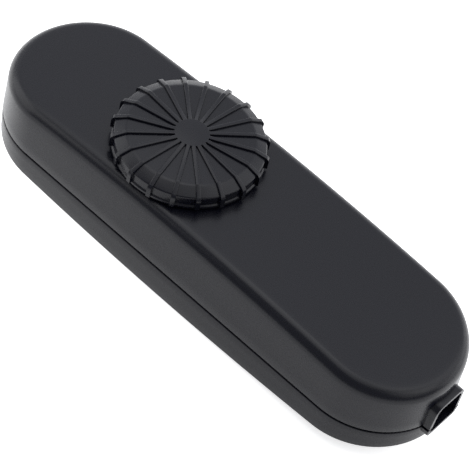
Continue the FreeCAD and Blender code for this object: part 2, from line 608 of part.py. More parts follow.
def pot_case():
    case = rounded_plate(POT_SIDE, POT_SIDE, POT_CORNER, SWITCH_TOP_Z, POT_TOP_Z, KNOB_X)
    case = fused(case, post(BUSH_RADIUS, POT_TOP_Z, POT_TOP_Z + BUSH_HEIGHT, KNOB_X))
    cavity = post(POT_CAVITY_RADIUS, SWITCH_TOP_Z, POT_TOP_Z - POT_ROOF, KNOB_X)
    bore = post(SHAFT_RADIUS + RUNNING_CLEARANCE, SWITCH_TOP_Z, POT_TOP_Z + BUSH_HEIGHT, KNOB_X)
    return case.cut([cavity, bore])


def pot_track():
    top = SWITCH_TOP_Z + TRACK_THICKNESS
    ring = post(POT_CAVITY_RADIUS - RUNNING_CLEARANCE, SWITCH_TOP_Z, top, KNOB_X)
    return ring.cut(post(TRACK_BORE_RADIUS, SWITCH_TOP_Z, top, KNOB_X))


SWITCH_PINS = [(KNOB_X + sx * SWITCH_PIN_X, sy * SWITCH_PIN_Y) for sx, sy in QUARTERS]


def mains_switch():
    case = rounded_plate(POT_SIDE, POT_SIDE, POT_CORNER, BOARD_TOP_Z, SWITCH_TOP_Z, KNOB_X)
    floor = SWITCH_TOP_Z - TAIL_LENGTH - ROTOR_CLEARANCE
    well = post(TAIL_RADIUS + RUNNING_CLEARANCE, floor, SWITCH_TOP_Z, KNOB_X)
    return fused(case, *pins(SWITCH_PINS)).cut(well)


# Circuit board


def terminal_pins(side):
    return [(side * TERMINAL_X, y) for y in (-TERMINAL_PITCH / 2, TERMINAL_PITCH / 2)]


CHOKE_PINS = [(CHOKE_X - CHOKE_CORE_RADIUS, CHOKE_Y + side * CHOKE_PITCH / 2) for side in SIDES]
MAINS_CAP_PINS = [(MAINS_CAP_X, MAINS_CAP_Y + side * MAINS_CAP_PITCH / 2) for side in SIDES]
GATE_CAP_PINS = [(GATE_CAP_X + side * GATE_CAP_PITCH / 2, GATE_CAP_Y) for side in SIDES]
CLIP_PLACES = [(FUSE_X + side * (FUSE_LENGTH - FUSE_CAP_LENGTH) / 2, FUSE_Y) for side in SIDES]
TRIAC_PINS = [(SINK_X + SINK_THICKNESS + TRIAC_THICKNESS / 2, SINK_Y + i * TRIAC_PITCH) for i in (-1, 0, 1)]


def axial_pins(x, y, length, turn):
    reach = length / 2 + LEAD_OVERHANG
    way = Vector(math.cos(math.radians(turn)), math.sin(math.radians(turn)), 0)
    return [(x - way.x * reach, y - way.y * reach), (x + way.x * reach, y + way.y * reach)]


def circuit_board():
    board = rounded_plate(BOARD_LENGTH, BOARD_WIDTH, BOARD_CORNER, BOARD_HEIGHT, BOARD_TOP_Z)
    places = SWITCH_PINS + terminal_pins(-1) + terminal_pins(1) + CHOKE_PINS + MAINS_CAP_PINS
    places += GATE_CAP_PINS + CLIP_PLACES + TRIAC_PINS + axial_pins(DIAC_X, GATE_CAP_Y, DIAC_LENGTH, 0.0)
    for x, y, turn in RESISTOR_PLACES:
        places += axial_pins(x, y, RESISTOR_LENGTH, turn)
    holes = [post(PIN_RADIUS + PIN_CLEARANCE, BOARD_HEIGHT, BOARD_TOP_Z, x, y) for x, y in places]
    screw_hole = BOARD_SCREW_RADIUS + HEAD_CLEARANCE
    holes += [post(screw_hole, BOARD_HEIGHT, BOARD_TOP_Z, x, y) for x, y in BOARD_SCREWS]
    boss_room = HOUSING_BOSS_RADIUS + BOARD_CLEARANCE
    holes += [post(boss_room, BOARD_HEIGHT, BOARD_TOP_Z, x, y) for x, y in HOUSING_SCREWS]
    return board.cut(holes)


def board_screws():
    shank = (BOARD_SCREW_RADIUS, BOARD_THICKNESS + BOARD_SCREW_DEPTH)
    head = (BOARD_HEAD_RADIUS, BOARD_HEAD_HEIGHT)
    return Part.makeCompound([pan_screw(x, y, BOARD_TOP_Z, shank, head, False) for x, y in BOARD_SCREWS])


def terminal_block(side):
    """A two-way block: a wire way from the outer end and a clamping screw from above for each pole."""
    size = (TERMINAL_LENGTH, TERMINAL_WIDTH, TERMINAL_HEIGHT)
    body = centred_block(side * TERMINAL_X, 0, size, BOARD_TOP_Z)
    top = BOARD_TOP_Z + TERMINAL_HEIGHT
    rim = [e for e in level_edges(body) if abs(e.BoundBox.ZMin - top) < TOUCH]
    brow = [e for e in rim if e.BoundBox.XLength < TOUCH]
    body = body.makeChamfer(TERMINAL_CHAMFER, brow)
    body = fused(body, *pins(terminal_pins(side)))
    radius = TERMINAL_SCREW_RADIUS + SCREW_CLEARANCE
    cuts = []
    for x, y in terminal_pins(side):
        start = Vector(x, y, BOARD_TOP_Z + WIRE_WAY_HEIGHT)
        cuts.append(rod(WIRE_WAY_RADIUS, start, TERMINAL_LENGTH, Vector(side, 0, 0)))
        cuts.append(post(radius, BOARD_TOP_Z + WIRE_WAY_HEIGHT, top, x, y))
    return body.cut(cuts)


def terminal_screws():
    screws = []
    for side in SIDES:
        for x, y in terminal_pins(side):
            top = BOARD_TOP_Z + TERMINAL_HEIGHT - TERMINAL_SCREW_SINK
            stem = post(TERMINAL_SCREW_RADIUS, top - TERMINAL_SCREW_LENGTH, top, x, y)
            slot = (2 * TERMINAL_SCREW_RADIUS, RECESS_WIDTH, RECESS_DEPTH)
            screws.append(stem.cut(centred_block(x, y, slot, top - RECESS_DEPTH)))
    return Part.makeCompound(screws)


def cord_clamp(side):
    """A bar over two posts, with teeth below that bite the cord's sheath."""
    width = 2 * (CLAMP_SCREW_Y + CLAMP_POST_RADIUS)
    top = CLAMP_Z + CLAMP_THICKNESS
    bar = rounded_plate(CLAMP_LENGTH, width, CLAMP_CORNER, CLAMP_Z, top, side * CLAMP_X)
    teeth = []
    tooth_width = 2 * (CLAMP_SCREW_Y - CLAMP_POST_RADIUS - HEAD_CLEARANCE)
    for i in range(CLAMP_TEETH):
        x = side * CLAMP_X + (i - (CLAMP_TEETH - 1) / 2) * CLAMP_LENGTH / CLAMP_TEETH
        points = [(x - CLAMP_TOOTH, CLAMP_Z), (x + CLAMP_TOOTH, CLAMP_Z), (x, CLAMP_Z - CLAMP_TOOTH)]
        corners = [(Vector(px, -tooth_width / 2, pz), 0) for px, pz in points]
        teeth.append(prism(corners, Vector(0, tooth_width, 0)))
    bar = fused(bar, *teeth)
    hole = CLAMP_SCREW_RADIUS + HEAD_CLEARANCE
    return bar.cut([post(hole, CLAMP_Z, top, side * CLAMP_X, way * CLAMP_SCREW_Y) for way in SIDES])


def clamp_screws():
    shank = (CLAMP_SCREW_RADIUS, CLAMP_THICKNESS + CLAMP_SCREW_DEPTH)
    head = (CLAMP_HEAD_RADIUS, CLAMP_HEAD_HEIGHT)
    seat = CLAMP_Z + CLAMP_THICKNESS
    return Part.makeCompound([pan_screw(x, y, seat, shank, head, False) for x, y in CLAMP_SCREWS])


# Parts on the board


def choke_core():
    low = BOARD_TOP_Z + CHOKE_WIRE
    ring = post(CHOKE_CORE_RADIUS, low, low + CHOKE_CORE_HEIGHT, CHOKE_X, CHOKE_Y)
    return ring.cut(post(CHOKE_BORE_RADIUS, low, low + CHOKE_CORE_HEIGHT, CHOKE_X, CHOKE_Y))


def choke_winding():
    """Copper turns round the ring: a close layer with a ridge for each turn, and two leads."""
    low, high = BOARD_TOP_Z, BOARD_TOP_Z + CHOKE_CORE_HEIGHT + 2 * CHOKE_WIRE
    start = -CHOKE_SWEEP / 2

    def layer(thickness):
        near, far = CHOKE_BORE_RADIUS - thickness, CHOKE_CORE_RADIUS + thickness
        return near, far, low + CHOKE_WIRE - thickness, high - CHOKE_WIRE + thickness

    def sleeve(thickness, sweep):
        near, far, z_low, z_high = layer(thickness)
        return turned([(near, z_low, 0), (far, z_low, 0), (far, z_high, 0), (near, z_high, 0)], 0, 0, sweep)

    winding = sleeve(CHOKE_WIRE / 2, CHOKE_SWEEP)
    winding.rotate(Vector(0, 0, 0), Vector(0, 0, 1), start)
    near, far, z_low, z_high = layer(CHOKE_WIRE)
    turns = []
    for i in range(CHOKE_TURNS):
        turn = block(near, far, -CHOKE_TURN_WIDTH / 2, CHOKE_TURN_WIDTH / 2, z_low, z_high)
        turn.rotate(Vector(0, 0, 0), Vector(0, 0, 1), start + CHOKE_SWEEP * (i + 0.5) / CHOKE_TURNS)
        turns.append(turn)
    winding = fused(winding, *turns)
    winding.translate(Vector(CHOKE_X, CHOKE_Y, 0))
    return fused(winding, *pins(CHOKE_PINS, CHOKE_WIRE)).cut(choke_core())


def boxed_capacitor(x, y, size, places):
    body = centred_block(x, y, size, BOARD_TOP_Z)
    brow = [e for e in level_edges(body) if e.BoundBox.ZMin > BOARD_TOP_Z + TOUCH]
    body = body.makeFillet(CAPACITOR_ROUND, brow)
    return fused(body, *pins(places))


def mains_capacitor():
    size = (MAINS_CAP_LENGTH, MAINS_CAP_WIDTH, MAINS_CAP_HEIGHT)
    return boxed_capacitor(MAINS_CAP_X, MAINS_CAP_Y, size, MAINS_CAP_PINS)


def gate_capacitor():
    size = (GATE_CAP_LENGTH, GATE_CAP_WIDTH, GATE_CAP_HEIGHT)
    return boxed_capacitor(GATE_CAP_X, GATE_CAP_Y, size, GATE_CAP_PINS)


def bent_lead(reach, axis_z):
    """A round wire along X at axis_z, bent down at both ends and through the board."""
    foot_z = BOARD_HEIGHT - PIN_TAIL
    places = [(-reach, foot_z), (-reach, axis_z), (reach, axis_z), (reach, foot_z)]
    path = Part.makePolygon([Vector(x, 0, z) for x, z in places])
    section = Part.Wire(Part.makeCircle(LEAD_RADIUS, Vector(-reach, 0, foot_z), Vector(0, 0, 1)))
    return path.makePipeShell([section], True, False, MITRED)


def axial_part(x, y, radius, length, turn):
    """A bead on wire leads that bend down through the board."""
    axis_z = BOARD_TOP_Z + radius
    bead = rod(radius, Vector(-length / 2, 0, axis_z), length, Vector(1, 0, 0))
    part = fused(bead, bent_lead(length / 2 + LEAD_OVERHANG, axis_z))
    part.rotate(Vector(0, 0, 0), Vector(0, 0, 1), turn)
    part.translate(Vector(x, y, 0))
    return part


def resistors():
    beads = [axial_part(x, y, RESISTOR_RADIUS, RESISTOR_LENGTH, turn) for x, y, turn in RESISTOR_PLACES]
    return Part.makeCompound(beads)


def fuse_tube():
    axis_z = BOARD_TOP_Z + FUSE_HEIGHT
    start = Vector(FUSE_X - FUSE_LENGTH / 2 + FUSE_CAP_WALL, FUSE_Y, axis_z)
    length = FUSE_LENGTH - 2 * FUSE_CAP_WALL
    outer = FUSE_RADIUS - FUSE_CAP_WALL
    tube = rod(outer, start, length, Vector(1, 0, 0))
    return tube.cut(rod(outer - 2 * FUSE_CAP_WALL, start, length, Vector(1, 0, 0)))


def fuse_caps():
    axis_z = BOARD_TOP_Z + FUSE_HEIGHT
    caps = []
    for way in SIDES:
        end = Vector(FUSE_X + way * FUSE_LENGTH / 2, FUSE_Y, axis_z)
        cap = rod(FUSE_RADIUS, end, FUSE_CAP_LENGTH, Vector(-way, 0, 0))
        inner = end - Vector(way * FUSE_CAP_WALL, 0, 0)
        caps.append(cap.cut(rod(FUSE_RADIUS - FUSE_CAP_WALL, inner, FUSE_CAP_LENGTH, Vector(-way, 0, 0))))
    return Part.makeCompound(caps)


def fuse_clips():
    """Two sprung U-shaped clips, each gripping a cap from both sides."""
    clips = []
    axis_z = BOARD_TOP_Z + FUSE_HEIGHT
    for (x, y) in CLIP_PLACES:
        outer = FUSE_RADIUS + CLIP_WALL
        ring = rod(outer, Vector(x - CLIP_WIDTH / 2, y, axis_z), CLIP_WIDTH, Vector(1, 0, 0))
        foot = centred_block(x, y, (CLIP_WIDTH, outer, FUSE_HEIGHT), BOARD_TOP_Z)
        clip = fused(ring, foot, *pins([(x, y)]))
        mouth = centred_block(x, y, (CLIP_WIDTH, FUSE_RADIUS, 2 * outer), axis_z)
        grip = rod(FUSE_RADIUS, Vector(x - CLIP_WIDTH / 2, y, axis_z), CLIP_WIDTH, Vector(1, 0, 0))
        clips.append(clip.cut([grip, mouth]))
    return Part.makeCompound(clips)


def heat_sink():
    size = (SINK_THICKNESS, SINK_WIDTH, SINK_HEIGHT)
    plate = centred_block(SINK_X + SINK_THICKNESS / 2, SINK_Y, size, BOARD_TOP_Z)
    return plate.cut(triac_bore(SINK_X))


def triac_bore(start_x):
    axis = Vector(start_x, SINK_Y, BOARD_TOP_Z + TRIAC_SCREW_HEIGHT)
    return rod(TRIAC_SCREW_RADIUS + HEAD_CLEARANCE, axis, SINK_THICKNESS + TRIAC_THICKNESS, Vector(1, 0, 0))


def triac():
    low = BOARD_TOP_Z + TRIAC_LIFT
    size = (TRIAC_THICKNESS, TRIAC_WIDTH, TRIAC_HEIGHT)
    body = centred_block(SINK_X + SINK_THICKNESS + TRIAC_THICKNESS / 2, SINK_Y, size, low)
    legs = [post(PIN_RADIUS, BOARD_HEIGHT - PIN_TAIL, low, x, y) for x, y in TRIAC_PINS]
    return fused(body, *legs).cut(triac_bore(SINK_X))


def triac_screw():
    axis = Vector(SINK_X + SINK_THICKNESS + TRIAC_THICKNESS, SINK_Y, BOARD_TOP_Z + TRIAC_SCREW_HEIGHT)
    length = TRIAC_THICKNESS + SINK_THICKNESS + TRIAC_NUT_THICKNESS
    stem = rod(TRIAC_SCREW_RADIUS, axis, length, Vector(-1, 0, 0))
    head = rod(TRIAC_HEAD_RADIUS, axis, TRIAC_HEAD_HEIGHT, Vector(1, 0, 0))
    size = (RECESS_DEPTH, RECESS_WIDTH, 2 * TRIAC_HEAD_RADIUS)
    slot_x = axis.x + TRIAC_HEAD_HEIGHT - RECESS_DEPTH / 2
    return fused(stem, head).cut(centred_block(slot_x, SINK_Y, size, axis.z - TRIAC_HEAD_RADIUS))


def triac_nut():
    axis = Vector(SINK_X, SINK_Y, BOARD_TOP_Z + TRIAC_SCREW_HEIGHT)
    corner = TRIAC_NUT_ACROSS / math.sqrt(3)
    points = []
    for i in range(6):
        turn = math.radians(60 * i)
        points.append((axis + Vector(0, corner * math.cos(turn), corner * math.sin(turn)), 0))
    nut = prism(points, Vector(-TRIAC_NUT_THICKNESS, 0, 0))
    return nut.cut(rod(TRIAC_SCREW_RADIUS + SCREW_CLEARANCE, axis, TRIAC_NUT_THICKNESS, Vector(-1, 0, 0)))


PIECES = {
    "top_cover": top_cover,
    "base_tray": base_tray,
    "housing_screws": housing_screws,
    "knob": knob,
    "pot_shaft": pot_shaft,
    "pot_wiper": pot_wiper,
    "pot_case": pot_case,
    "pot_track": pot_track,
    "mains_switch": mains_switch,
    "circuit_board": circuit_board,
    "board_screws": board_screws,
    "mains_terminal": lambda: terminal_block(-1),
    "lamp_terminal": lambda: terminal_block(1),
    "terminal_screws": terminal_screws,
    "mains_cord_clamp": lambda: cord_clamp(-1),
    "lamp_cord_clamp": lambda: cord_clamp(1),
    "clamp_screws": clamp_screws,
    "choke_core": choke_core,
    "choke_winding": choke_winding,
    "mains_capacitor": mains_capacitor,
    "gate_capacitor": gate_capacitor,
    "diac": lambda: axial_part(DIAC_X, GATE_CAP_Y, DIAC_RADIUS, DIAC_LENGTH, 0.0),
    "resistors": resistors,
    "fuse_tube": fuse_tube,
    "fuse_caps": fuse_caps,
    "fuse_clips": fuse_clips,
    "heat_sink": heat_sink,
    "triac": triac,
    "triac_screw": triac_screw,
    "triac_nut": triac_nut,
}


def main():
    os.makedirs("parts", exist_ok=True)
    for name, make in PIECES.items():
        shape = make()
        if not shape.isValid():
            print("not valid:", name)
        print("%-18s %2d solids %9.1f mm3" % (name, len(shape.Solids), shape.Volume))
        shape.exportStep(os.path.join("parts", name + ".step"))


main()
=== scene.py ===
"""Dresses a rotary cord dimmer: housing halves, ribbed knob, a finish for every part, and a stage."""

import json
import math

import bmesh
import bpy
from bpy.props import FloatProperty, IntProperty, PointerProperty, StringProperty
from mathutils import Matrix, Vector


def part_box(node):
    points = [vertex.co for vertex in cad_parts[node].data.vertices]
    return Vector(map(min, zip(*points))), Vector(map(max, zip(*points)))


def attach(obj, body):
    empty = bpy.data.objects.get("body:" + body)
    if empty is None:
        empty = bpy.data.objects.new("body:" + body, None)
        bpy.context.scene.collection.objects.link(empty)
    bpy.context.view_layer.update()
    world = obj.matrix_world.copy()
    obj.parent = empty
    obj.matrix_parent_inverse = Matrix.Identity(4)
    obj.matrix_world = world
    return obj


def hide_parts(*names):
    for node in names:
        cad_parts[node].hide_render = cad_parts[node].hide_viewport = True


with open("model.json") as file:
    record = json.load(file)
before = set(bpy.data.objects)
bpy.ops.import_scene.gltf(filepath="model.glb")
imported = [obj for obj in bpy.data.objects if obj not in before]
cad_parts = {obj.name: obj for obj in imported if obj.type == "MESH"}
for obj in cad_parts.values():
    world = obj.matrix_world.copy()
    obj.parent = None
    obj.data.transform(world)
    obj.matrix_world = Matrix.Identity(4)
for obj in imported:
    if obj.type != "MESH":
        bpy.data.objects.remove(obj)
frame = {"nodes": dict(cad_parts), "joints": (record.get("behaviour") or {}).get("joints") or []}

bl_info = {
    "name": "Cord dimmer dressing",
    "version": (1, 0, 0),
    "blender": (4, 5, 0),
    "location": "3D View > Sidebar > Dimmer",
    "description": "Builds the visible shells, knob, finishes and stage of a rotary cord dimmer",
    "category": "Object",
}

MM = 0.001
WELD = 1e-7  # metres; corners nearer than this are made one
SAME_PLACE = 1e-6  # metres; nearer than this, two places count as one
MAINS_SIDE, LAMP_SIDE = -1, 1
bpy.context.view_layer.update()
KNOB_LOW, KNOB_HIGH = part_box("knob")
KNOB_AXIS = Vector(frame["joints"][0]["pos_m"])

# How finely the curves are drawn
TOP_EDGE_STEPS = 10
BELLY_EDGE_STEPS = 5
RIM_STEPS = 3
KNOB_PROFILE_STEPS = 5
KNOB_SPIN_STEPS = 120
HOUSING_CREASE = 28  # degrees; a sharper bend shows as an edge
KNOB_CREASE = 32

# Places of the rings that divide a skin from its edge to the middle line, and a wall from edge to rim
SKIN_RINGS = (0.94, 0.85, 0.7, 0.5, 0.25, 0.0)
COVER_WALL_RINGS = (0.75, 0.5, 0.25)
BASE_WALL_RINGS = (0.66, 0.33)


def length(name, description, millimetres):
    """A size that the sidebar shows as a length."""
    return FloatProperty(
        name=name,
        description=description,
        default=millimetres * MM,
        unit="LENGTH",
        subtype="DISTANCE",
        precision=5,
    )


def angle(name, description, degrees):
    """A turn that the sidebar shows in degrees."""
    return FloatProperty(
        name=name, description=description, default=math.radians(degrees), subtype="ANGLE", unit="ROTATION"
    )


def whole_number(name, description, value, least):
    """A whole number that the sidebar shows."""
    return IntProperty(name=name, description=description, default=value, min=least)


def share(name, description, value):
    """A plain number: a slope, a ratio or a brightness."""
    return FloatProperty(name=name, description=description, default=value, precision=4)


def hex_colour(name, description, code):
    """A colour as an sRGB hex code."""
    return StringProperty(name=name, description=description, default=code)


class HousingSizes(bpy.types.PropertyGroup):
    """The two moulded halves"""

    body_length: length("Length", "End to end, without the cord collar", 120.8)
    body_width: length("Width", "Across the straight sides at the seam", 36.0)
    belly_z: length("Belly", "Lowest line of the bowed underside above the ground", 0.4)
    seam_z: length("Seam", "Height of the parting plane", 8.8)
    crown_z: length("Crown", "Highest line of the top", 23.6)
    crown_sag: length("Sag", "Drop of the crown and rise of the belly at the ends", 3.0)
    wall: length("Wall", "Thickness of the moulding", 2.2)
    cover_draft: share("Cover draft", "Lean of the upper wall for each unit of height", 0.04)
    base_draft: share("Base draft", "Lean of the lower wall for each unit of height", 0.018)
    top_round: length("Top edge", "Radius of the top edge", 2.6)
    belly_round: length("Belly edge", "Radius of the lower edge", 0.6)
    seam_gap: length("Seam gap", "Shadow line between the halves", 0.42)
    rim_round: length("Rim round", "Softening of the two rims at the seam", 0.3)
    tongue: length("Tongue", "Thickness of the base's tongue", 0.9)
    tongue_rise: length("Tongue rise", "Height of the tongue above the seam", 1.6)
    tongue_play: length("Tongue play", "Clearance between tongue and cover", 0.1)
    land_length: length("Land length", "Flat land on the underside", 80.0)
    land_width: length("Land width", "Flat land on the underside", 20.0)
    land_corner: length("Land corner", "Corner radius of the land", 9.0)
    arc_steps: whole_number("End steps", "Facets round each end", 56, least=8)
    side_steps: whole_number("Side steps", "Facets along each straight side", 40, least=4)


class CollarSizes(bpy.types.PropertyGroup):
    """The split cord entries"""

    reach: length("Reach", "Past the end of the body", 1.0)
    wall: length("Wall", "Thickness", 0.9)
    seam_width: length("Seam width", "Across the arch, at the parting plane", 9.7)
    top_width: length("Top width", "Across, at the top of the arch", 9.3)
    low_width: length("Low width", "Across, at the floor of the tray", 9.6)
    tray_proud: length("Tray proud", "By which the tray is wider than the arch on each side", 0.25)
    rise: length("Rise", "Arch above the parting plane", 7.1)
    drop: length("Drop", "Tray below the parting plane", 2.5)
    top_round: length("Top round", "Corner radius of the arch", 2.3)
    low_round: length("Low round", "Corner radius of the tray", 1.5)
    lip: length("Lip", "Softening of the open edge", 0.08)


class FittingSizes(bpy.types.PropertyGroup):
    """Bosses, posts and screw holes inside the halves"""

    boss_radius: length("Boss", "Radius of the housing screws' bosses", 3.0)
    head_radius: length("Head", "Radius of a housing screw's head", 2.6)
    head_play: length("Head play", "Clearance round a housing screw's head and shank", 0.25)
    head_seat: length("Head seat", "Height of the floor of a housing screw's well", 4.6)
    screw_radius: length("Screw", "Radius of a housing screw", 1.45)
    screw_play: length("Screw play", "Clearance round a screw in its pilot hole", 0.05)
    pilot_depth: length("Pilot depth", "Of a housing screw's pilot hole in the cover", 7.3)
    shaft_hole: length("Shaft hole", "Radius of the hole in the cover", 3.35)
    guide_wall: length("Guide wall", "Thickness of the shaft's guide", 1.8)
    guide_length: length("Guide length", "Of the shaft's guide below the cover", 1.6)
    post_radius: length("Post", "Radius of the board's posts", 3.0)
    post_inset: length("Post inset", "From the board's edges to a post's axis", 3.7)
    board_head: length("Board head", "Radius of a board screw's head", 2.2)
    board_screw: length("Board screw", "Radius of a board screw", 1.2)
    board_pilot: length("Board pilot", "Depth of a board screw's hole", 2.8)
    clamp_post: length("Clamp post", "Radius of a cord clamp's posts", 2.75)
    clamp_z: length("Clamp height", "Top of a cord clamp's posts", 14.7)
    clamp_head: length("Clamp head", "Radius of a clamp screw's head", 2.3)
    clamp_screw: length("Clamp screw", "Radius of a clamp screw", 1.2)
    clamp_pilot: length("Clamp pilot", "Depth of a clamp screw's hole", 6.8)
    saddle_length: length("Saddle", "Thickness of the rest below each cord", 2.0)
    saddle_z: length("Saddle height", "Top of the rest below each cord", 7.1)


class KnobSizes(bpy.types.PropertyGroup):
    """The ribbed knob"""

    rim_radius: length("Rim", "Radius between the ribs", 16.15)
    flange_proud: length("Flange", "Foot flange beyond the rim", 0.3)
    flange_height: length("Flange height", "Foot flange", 0.9)
    foot_round: length("Foot round", "Softening of the foot flange's edges", 0.12)
    bevel_width: length("Bevel width", "Sloping band inside the rim", 2.55)
    bevel_drop: length("Bevel drop", "Sloping band inside the rim", 1.2)
    bevel_round: length("Bevel round", "Radius between panel and bevel", 2.0)
    rim_round: length("Rim round", "Radius between bevel and rim", 0.5)
    panel_fall: length("Panel fall", "From the hub to the bevel", 0.1)
    skin: length("Skin", "Thickness of the moulding", 1.6)
    hub_radius: length("Hub", "Plain disc in the middle", 3.7)
    hub_round: length("Hub round", "Softening of the hub's edge", 0.12)
    socket_radius: length("Socket", "Outside of the shaft socket", 5.0)
    shaft_bore: length("Bore", "Radius of the shaft's bore", 3.05)
    shaft_skin: length("Bore skin", "Above the shaft's end", 1.5)
    rib_count: whole_number("Ribs", "Number of ribs", 20, least=3)
    rib_phase: angle("Phase", "Turn of the first rib", 13.0)
    rib_width: length("Rib width", "Across a rib", 0.95)
    rib_proud: length("Rib height", "Above the panels", 0.5)
    rib_tip: length("Rib tip", "Radius to the ribs' outer faces", 16.95)
    rib_edge: length("Rib edge", "Rounding of a rib's crest", 0.22)
    rib_sink: length("Rib sink", "By which a rib's crest lies below the hub's face", 0.005)
    rib_bend: length("Rib bend", "Rounding where a rib turns over the rim", 1.3)


class StageSizes(bpy.types.PropertyGroup):
    """Camera, lights and floor"""

    azimuth: angle("Azimuth", "Camera turn", 30.76)
    elevation: angle("Elevation", "Camera height", 51.74)
    roll: angle("Roll", "Camera roll", 15.4)
    distance: length("Distance", "From the camera to the body's middle", 437.6)
    focal: share("Focal length", "In picture widths", 4.3168723)
    shift_x: share("Shift across", "In picture widths", 0.0354)
    shift_y: share("Shift up", "In picture widths", 0.0455)
    room: share("Room", "Brightness of the room round the camera", 0.24)
    backdrop: share("Backdrop", "By which the room is brighter behind the object", 0.57)
    fade_from: share("Fade from", "Cosine from straight behind where the room starts to brighten", -0.25)
    fade_to: share("Fade to", "Cosine from straight behind where it is brightest", 0.5)
    floor_half: length("Floor", "Half of a side of the floor sheet", 2000.0)
    floor_glow: share("Floor glow", "Light that the floor sheet passes from below, in front", 0.23)
    floor_lift: share("Floor lift", "By which the sheet glows more behind the object", 0.85)
    glow_turn: angle("Glow turn", "Way in which the sheet glows more", 12.0)
    glow_from: length("Glow from", "Place along that way where the sheet starts to glow more", -30.0)
    glow_to: length("Glow to", "Place along that way where the sheet glows most", 10.0)
    white_out: share("White-out", "Glow that the camera alone sees on the sheet", 0.45)
    panels: share("Panels", "Brightness of all softboxes together", 1.0)
    panel_distance: length("Panel distance", "From the softboxes to the object", 900.0)


class FinishColours(bpy.types.PropertyGroup):
    """Colours of the visible mouldings and the stage"""

    housing: hex_colour("Housing", "Black of the two halves", "#0B0C16")
    knob: hex_colour("Knob", "Black of the knob", "#0B0C16")
    floor: hex_colour("Floor", "White of the floor sheet", "#FAFAFA")
    room: hex_colour("Room", "White of the room's light", "#F6F8FF")


# Meshes


def new_object(name, bm):
    """A mesh object at the origin, its faces turned outwards."""
    bmesh.ops.remove_doubles(bm, verts=bm.verts, dist=WELD)
    bmesh.ops.recalc_face_normals(bm, faces=bm.faces)
    mesh = bpy.data.meshes.new(name)
    bm.to_mesh(mesh)
    bm.free()
    thing = bpy.data.objects.new(name, mesh)
    bpy.context.scene.collection.objects.link(thing)
    return thing


def boolean(thing, tool, operation):
    """Cuts or joins one solid with another, and removes the tool."""
    step = thing.modifiers.new(operation.lower(), "BOOLEAN")
    step.object = tool
    step.operation = operation
    step.solver = "EXACT"
    thing.data = baked(thing)
    thing.modifiers.clear()
    bpy.data.objects.remove(tool)


def baked(thing):
    """The plain mesh that an object's modifiers give."""
    bpy.context.view_layer.update()
    depsgraph = bpy.context.evaluated_depsgraph_get()
    return bpy.data.meshes.new_from_object(thing.evaluated_get(depsgraph))


def smooth(thing, degrees):
    """Shades a mesh as one smooth skin, apart from bends sharper than degrees."""
    thing.data.shade_smooth()
    thing.data.set_sharp_from_angle(angle=math.radians(degrees))


def rounded_outline(corners, steps=6):
    """Points of a closed outline in a plane, from (across, up, radius) corners."""
    points = []
    count = len(corners)
    for i, (across, up, radius) in enumerate(corners):
        here = Vector((across, up))
        to_last = (Vector(corners[i - 1][:2]) - here).normalized()
        to_next = (Vector(corners[(i + 1) % count][:2]) - here).normalized()
        if radius <= 0:
            points.append(here)
            continue
        half = to_last.angle(to_next) / 2
        centre = here + (to_last + to_next).normalized() * (radius / math.sin(half))
        start = here + to_last * (radius / math.tan(half)) - centre
        turn = start.angle_signed(here + to_next * (radius / math.tan(half)) - centre)
        for k in range(steps + 1):
            spoke = start.copy()
            spoke.rotate(Matrix.Rotation(-turn * k / steps, 2))
            points.append(centre + spoke)
    return points


def outline_prism(name, points, place, push):
    """A solid from a flat outline: place turns a 2-D point into the start face, and push is the extrusion."""
    bm = bmesh.new()
    face = bm.faces.new([bm.verts.new(place(p)) for p in points])
    pushed = bmesh.ops.extrude_face_region(bm, geom=[face])
    bmesh.ops.translate(bm, verts=[v for v in pushed["geom"] if isinstance(v, bmesh.types.BMVert)], vec=push)
    return new_object(name, bm)


def cylinder(name, radius, low, high, x=0.0, y=0.0, steps=64):
    """An upright round solid between two heights."""
    bm = bmesh.new()
    place = Matrix.Translation((x, y, (low + high) / 2))
    bmesh.ops.create_cone(
        bm, cap_ends=True, segments=steps, radius1=radius, radius2=radius, depth=high - low, matrix=place
    )
    return new_object(name, bm)


def block(name, low, high):
    """A box between two corners."""
    bm = bmesh.new()
    place = Matrix.Translation((low + high) / 2) @ Matrix.Diagonal((*(high - low), 1))
    bmesh.ops.create_cube(bm, size=1, matrix=place)
    return new_object(name, bm)


class StadiumShell:
    """A closed shell laid down ring by ring on a plan with two straight sides and two round ends."""

    def __init__(self, sizes):
        self.bm = bmesh.new()
        self.last = None
        half = (sizes.body_length - sizes.body_width) / 2
        self.plan = []
        for side in (1, -1):
            for k in range(sizes.arc_steps):
                turn = math.pi * (k / sizes.arc_steps - 0.5)
                self.plan.append((side * half, side * math.cos(turn), side * math.sin(turn)))
            for k in range(sizes.side_steps):
                self.plan.append((side * half * (1 - 2 * k / sizes.side_steps), 0.0, float(side)))

    def ring(self, radius, height):
        """Adds a ring: radius is worked out from the height, and the height from the place along the body."""
        ring = []
        for centre, out_x, out_y in self.plan:
            z = height(centre + radius(height(centre)) * out_x)
            r = radius(z)
            ring.append(self.bm.verts.new((centre + r * out_x, r * out_y, z)))
        if self.last:
            for k in range(len(ring)):
                self.bm.faces.new((self.last[k - 1], self.last[k], ring[k], ring[k - 1]))
        self.last = ring

    def close(self, name):
        """Makes the rings one solid; the first and last ring lie flat on the middle line."""
        return new_object(name, self.bm)


def quarter(steps):
    """Sine and cosine over a quarter turn."""
    turns = [math.pi / 2 * k / steps for k in range(steps + 1)]
    return [(math.sin(t), math.cos(t)) for t in turns]


def bow(sizes, inset):
    """How far a skin taken in by inset has bent from its middle's level at a place along the body."""
    half = sizes.body_length / 2
    radius = (half**2 + sizes.crown_sag**2) / (2 * sizes.crown_sag) - inset
    return lambda x: radius - math.sqrt(radius**2 - x**2)


